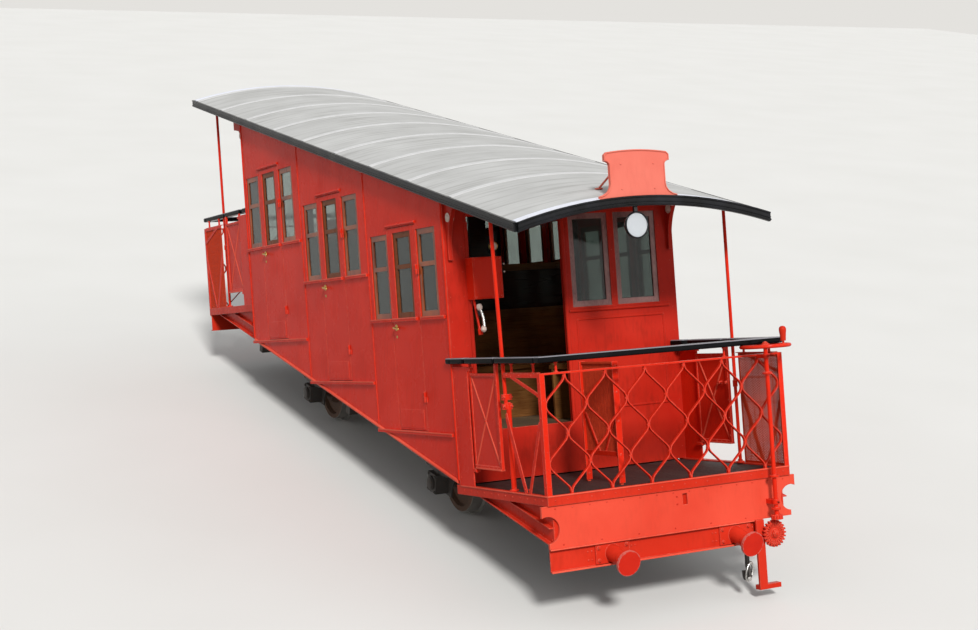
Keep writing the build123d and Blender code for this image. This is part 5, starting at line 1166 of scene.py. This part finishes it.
GEAR_NUT = [(-0.001, 0.03), (0.012, 0.028), (0.014, 0.016), (0.02, 0.015), (0.022, 0)]
brake_bits = bmesh.new()
turned(brake_bits, FLAT, (BRAKE_X, BRAKE_Y, BRAKE_Z + 0.014), UP, WASHER, 24)
turned(brake_bits, FLAT, (BRAKE_X, BRAKE_Y, BRAKE_Z + 0.02), UP, WHEEL_NUT, 6)
grip_x, grip_y = BRAKE_X + GRIP_REACH * math.cos(GRIP_TURN), BRAKE_Y + GRIP_REACH * math.sin(GRIP_TURN)
turned(brake_bits, FLAT, (grip_x, grip_y, BRAKE_Z), UP, SWELLING_GRIP, 20)
turned(brake_bits, FLAT, (BRAKE_X, -0.0445, GEAR_Z), OUT, GEAR_NUT, 6)
for angle in map(math.radians, range(0, 360, 60)):
    spot = (BRAKE_X + RIVET_RING * math.cos(angle), GEAR_Y, GEAR_Z + RIVET_RING * math.sin(angle))
    rivet(brake_bits, FLAT, spot, OUT, 0.007)
for z in (0.835, 0.835, -0.2425, -0.2425):
    bolt(brake_bits, FLAT, (BRAKE_X, BRACKET_Y, z), OUT, 0.006)
make_piece("hand_brake_nuts", brake_bits, RED_FRAME)

# Crown wheel: cast iron, with its teeth as ridges across the sloping rim, narrow towards the middle and wide at the
# edge, where the pinion above meets them. Painted over, and greasy in use.
TEETH = 24
crown = bmesh.new()
for tooth in range(TEETH):
    angle = 2 * math.pi * (tooth + 0.5) / TEETH
    turn = Matrix.Translation((BRAKE_X, GEAR_Y, GEAR_Z)) @ Matrix.Rotation(angle, 4, "Y")
    ridge = []
    for radius, face, half in ((0.047, -0.003, 0.0035), (0.079, -0.014, 0.0055)):
        for side in (-1, 1):
            ridge.append([crown.verts.new(turn @ Vector((side * half, y, radius))) for y in (0.004, face)])
    for first, last in ((0, 1), (1, 3), (3, 2), (2, 0)):
        crown.faces.new((ridge[first][0], ridge[last][0], ridge[last][1], ridge[first][1]))
    crown.faces.new([ridge[k][1] for k in (0, 1, 3, 2)])
    crown.faces.new([ridge[k][0] for k in (0, 1, 3, 2)])
make_piece("hand_brake_crown_teeth", crown, RED_FRAME, 0.001)

# Driver's cabinet: a painted sheet-iron case on the bulkhead with a beaded door, a dial in a brass bezel on a stalk
# above it and two black knobs with cream index dots on its side. Below hangs a bright crank with two cream grips.
dress(RED_BODY, "control_cabinet")
LOW_X, HIGH_X, LOW_Z, HIGH_Z, CASE_FACE = -0.862, -0.628, 1.408, 1.712, 1.22
case = bmesh.new()
for x in (LOW_X, HIGH_X):
    bead(case, FLAT, (x, CASE_FACE, LOW_Z), (x, CASE_FACE, HIGH_Z), OUT, 0.014, 0.006)
for z in (LOW_Z, HIGH_Z):
    bead(case, FLAT, (LOW_X, CASE_FACE, z), (HIGH_X, CASE_FACE, z), OUT, 0.014, 0.006)
for x in (-0.85, -0.64):
    for z in (1.42, 1.7):
        rivet(case, FLAT, (x, CASE_FACE, z), OUT, 0.005)
make_piece("cabinet_frame", case, RED_BODY)
KNOBS_Z, DOWN = (1.6, 1.66), (0, -0.28, -1)
KNOB = [(0, 0.017), (0.024, 0.017), (0.034, 0.013), (0.036, 0)]
BOSS = [(0, 0.0), (0.004, 0.014), (0.03, 0.016), (0.07, 0.0135), (0.1, 0.0)]
knobs = bmesh.new()
for z in KNOBS_Z:
    turned(knobs, FLAT, (-0.6205, 1.242, z), RIGHT, KNOB, 20)
turned(knobs, FLAT, (-0.85, 1.215, 1.352), DOWN, BOSS, 16)
make_piece("cabinet_knobs", knobs, EAVE_BLACK)
DIAL = Vector((-0.66, 1.26, 1.8))
BEZEL = [(-0.02, 0.0), (-0.02, 0.032), (0.01, 0.034), (0.014, 0.031), (0.01, 0.028), (-0.002, 0.028)]
dial = bmesh.new()
turned(dial, FLAT, DIAL, OUT, BEZEL, 32)
turned(dial, FLAT, (-0.66, 1.268, 1.7195), UP, [(0, 0.016), (0.004, 0.016), (0.006, 0.007), (0.06, 0.007)], 16)
make_piece("cabinet_dial_bezel", dial, BRASS)
FACE_AND_HUB = [(0.0, 0.0275), (0.007, 0.0275), (0.0075, 0.003), (0.009, 0.002), (0.009, 0)]
dial_face = bmesh.new()
turned(dial_face, FLAT, DIAL, OUT, FACE_AND_HUB, 32)
for z in KNOBS_Z:
    turned(dial_face, FLAT, (-0.599, 1.2255, z), OUT, [(0, 0.0065), (0.002, 0.0065), (0.003, 0)], 10)
for angle in map(math.radians, range(-120, 121, 30)):
    mark = Vector((-0.66, 1.2525, 1.8)) + Vector((math.sin(angle), 0, math.cos(angle))) * 0.021
    turned(dial_face, FLAT, mark, OUT, [(0, 0.0016), (0.0008, 0.0016), (0.0008, 0)], 6)
make_piece("cabinet_dial_face", dial_face, CREAM)
TOP_GRIP = [(0.0, 0.0), (0.004, 0.018), (0.026, 0.024), (0.046, 0.018), (0.052, 0.008), (0.054, 0)]
END_GRIP = [(0.0, 0.0), (0.004, 0.01), (0.02, 0.022), (0.04, 0.02), (0.052, 0.008), (0.054, 0)]
lever_grip = bmesh.new()
turned(lever_grip, FLAT, (-0.85, 1.2, 1.365), DOWN, TOP_GRIP, 16)
turned(lever_grip, FLAT, (-0.85, 1.155, 1.2), DOWN, END_GRIP, 16)
make_piece("cabinet_lever_grip", lever_grip, CREAM)
BENDS = [(-0.85, 1.19, 1.33), (-0.842, 1.175, 1.3), (-0.838, 1.162, 1.25), (-0.841, 1.15, 1.2), (-0.85, 1.142, 1.165)]
crank = bmesh.new()
wire_line(crank, FLAT, BENDS, 0.011, 10)
make_piece("cabinet_lever_crank", crank, BRIGHT_STEEL)

# Door stops: folded steel strip screwed to the inside of the wall round each side doorway. It laps the shut door by
# 12 mm and stands 5.5 mm clear of it, so that no daylight shows through the running gaps.
STOP_LAP, STOP_FOOT, STOP_IN, STOP_OUT = 0.012, 0.01, 0.9905, 0.9945
HINGE_GAP, WALL_IN = 0.005, 1.0005
stops = bmesh.new()
for side in (-1, 1):
    for number in range(3):
        door, foot = door_start(number), floor_height(number) + 0.006
        door_end, top = door + DOOR_WIDE, floor_height(number) + DOOR_TOP
        near, far, high = door - STOP_LAP, door_end + STOP_LAP, top + STOP_LAP
        strips = (
            ((near, foot), (door + HINGE_GAP + STOP_LAP, high)),
            ((door_end - DOOR_GAP - STOP_LAP, foot), (far, high)),
            ((near, top - HINGE_GAP - STOP_LAP), (far, high)),
        )
        feet = (
            ((near, foot), (near + STOP_FOOT, high)),
            ((far - STOP_FOOT, foot), (far, high)),
            ((near, high - STOP_FOOT), (far, high)),
        )
        for (first, last), boxes in (((STOP_IN, STOP_OUT), strips), ((STOP_OUT - 0.001, WALL_IN), feet)):
            for (low_y, low_z), (high_y, high_z) in boxes:
                bar(stops, FLAT, (side * first, low_y, low_z), (side * last, high_y, high_z))
make_piece("door_stops", stops, RED_SHADE, 0.001)

# Inside the body: slatted benches face each other in every compartment, of varnished ash battens screwed to their
# frames, between oak partitions drawn near black as painted shade of the dim inside. The benches on the bulkheads
# stop short of the doorways.
SEAT_WOOD = varnished("varnished_seat_ash", "#5a3518", "#8a5c30", 0)
dress(SEAT_WOOD, "benches")
# The partitions' near-black browns are painted shade.
dress(varnished("partition_oak_in_painted_shade", "#150a07", "#301a10", 0), "partitions")
SEAT_END, SEAT_TOP, BACK_FOOT = 0.99, 0.452, 0.5
battens = bmesh.new()
for number in range(3):
    floor_z = floor_height(number)
    downhill = STATIONS[number] + 0.04
    uphill = STATIONS[number + 1] - (0.04 if number == 2 else 0.028)
    for start, facing, doorway in ((downhill, 1, number == 0), (uphill, -1, number == 2)):
        left = (0.05 if doorway else -SEAT_END) + 0.01
        for k in range(6):
            y = start + facing * (0.05 + 0.06 * k)
            y1, y2 = sorted((y, y + facing * 0.045))
            bar(battens, FLAT, (left, y1, floor_z + SEAT_TOP - 0.0125), (SEAT_END, y2, floor_z + SEAT_TOP))
        y = start + facing * 0.026
        y1, y2 = min(y - 0.0005, y + facing * 0.01), max(y, y + facing * 0.01)
        for k in range(5):
            z = floor_z + BACK_FOOT + 0.085 * k
            bar(battens, FLAT, (left, y1, z), (SEAT_END, y2, z + 0.065))
make_piece("seat_battens", battens, SEAT_WOOD, 0.003)
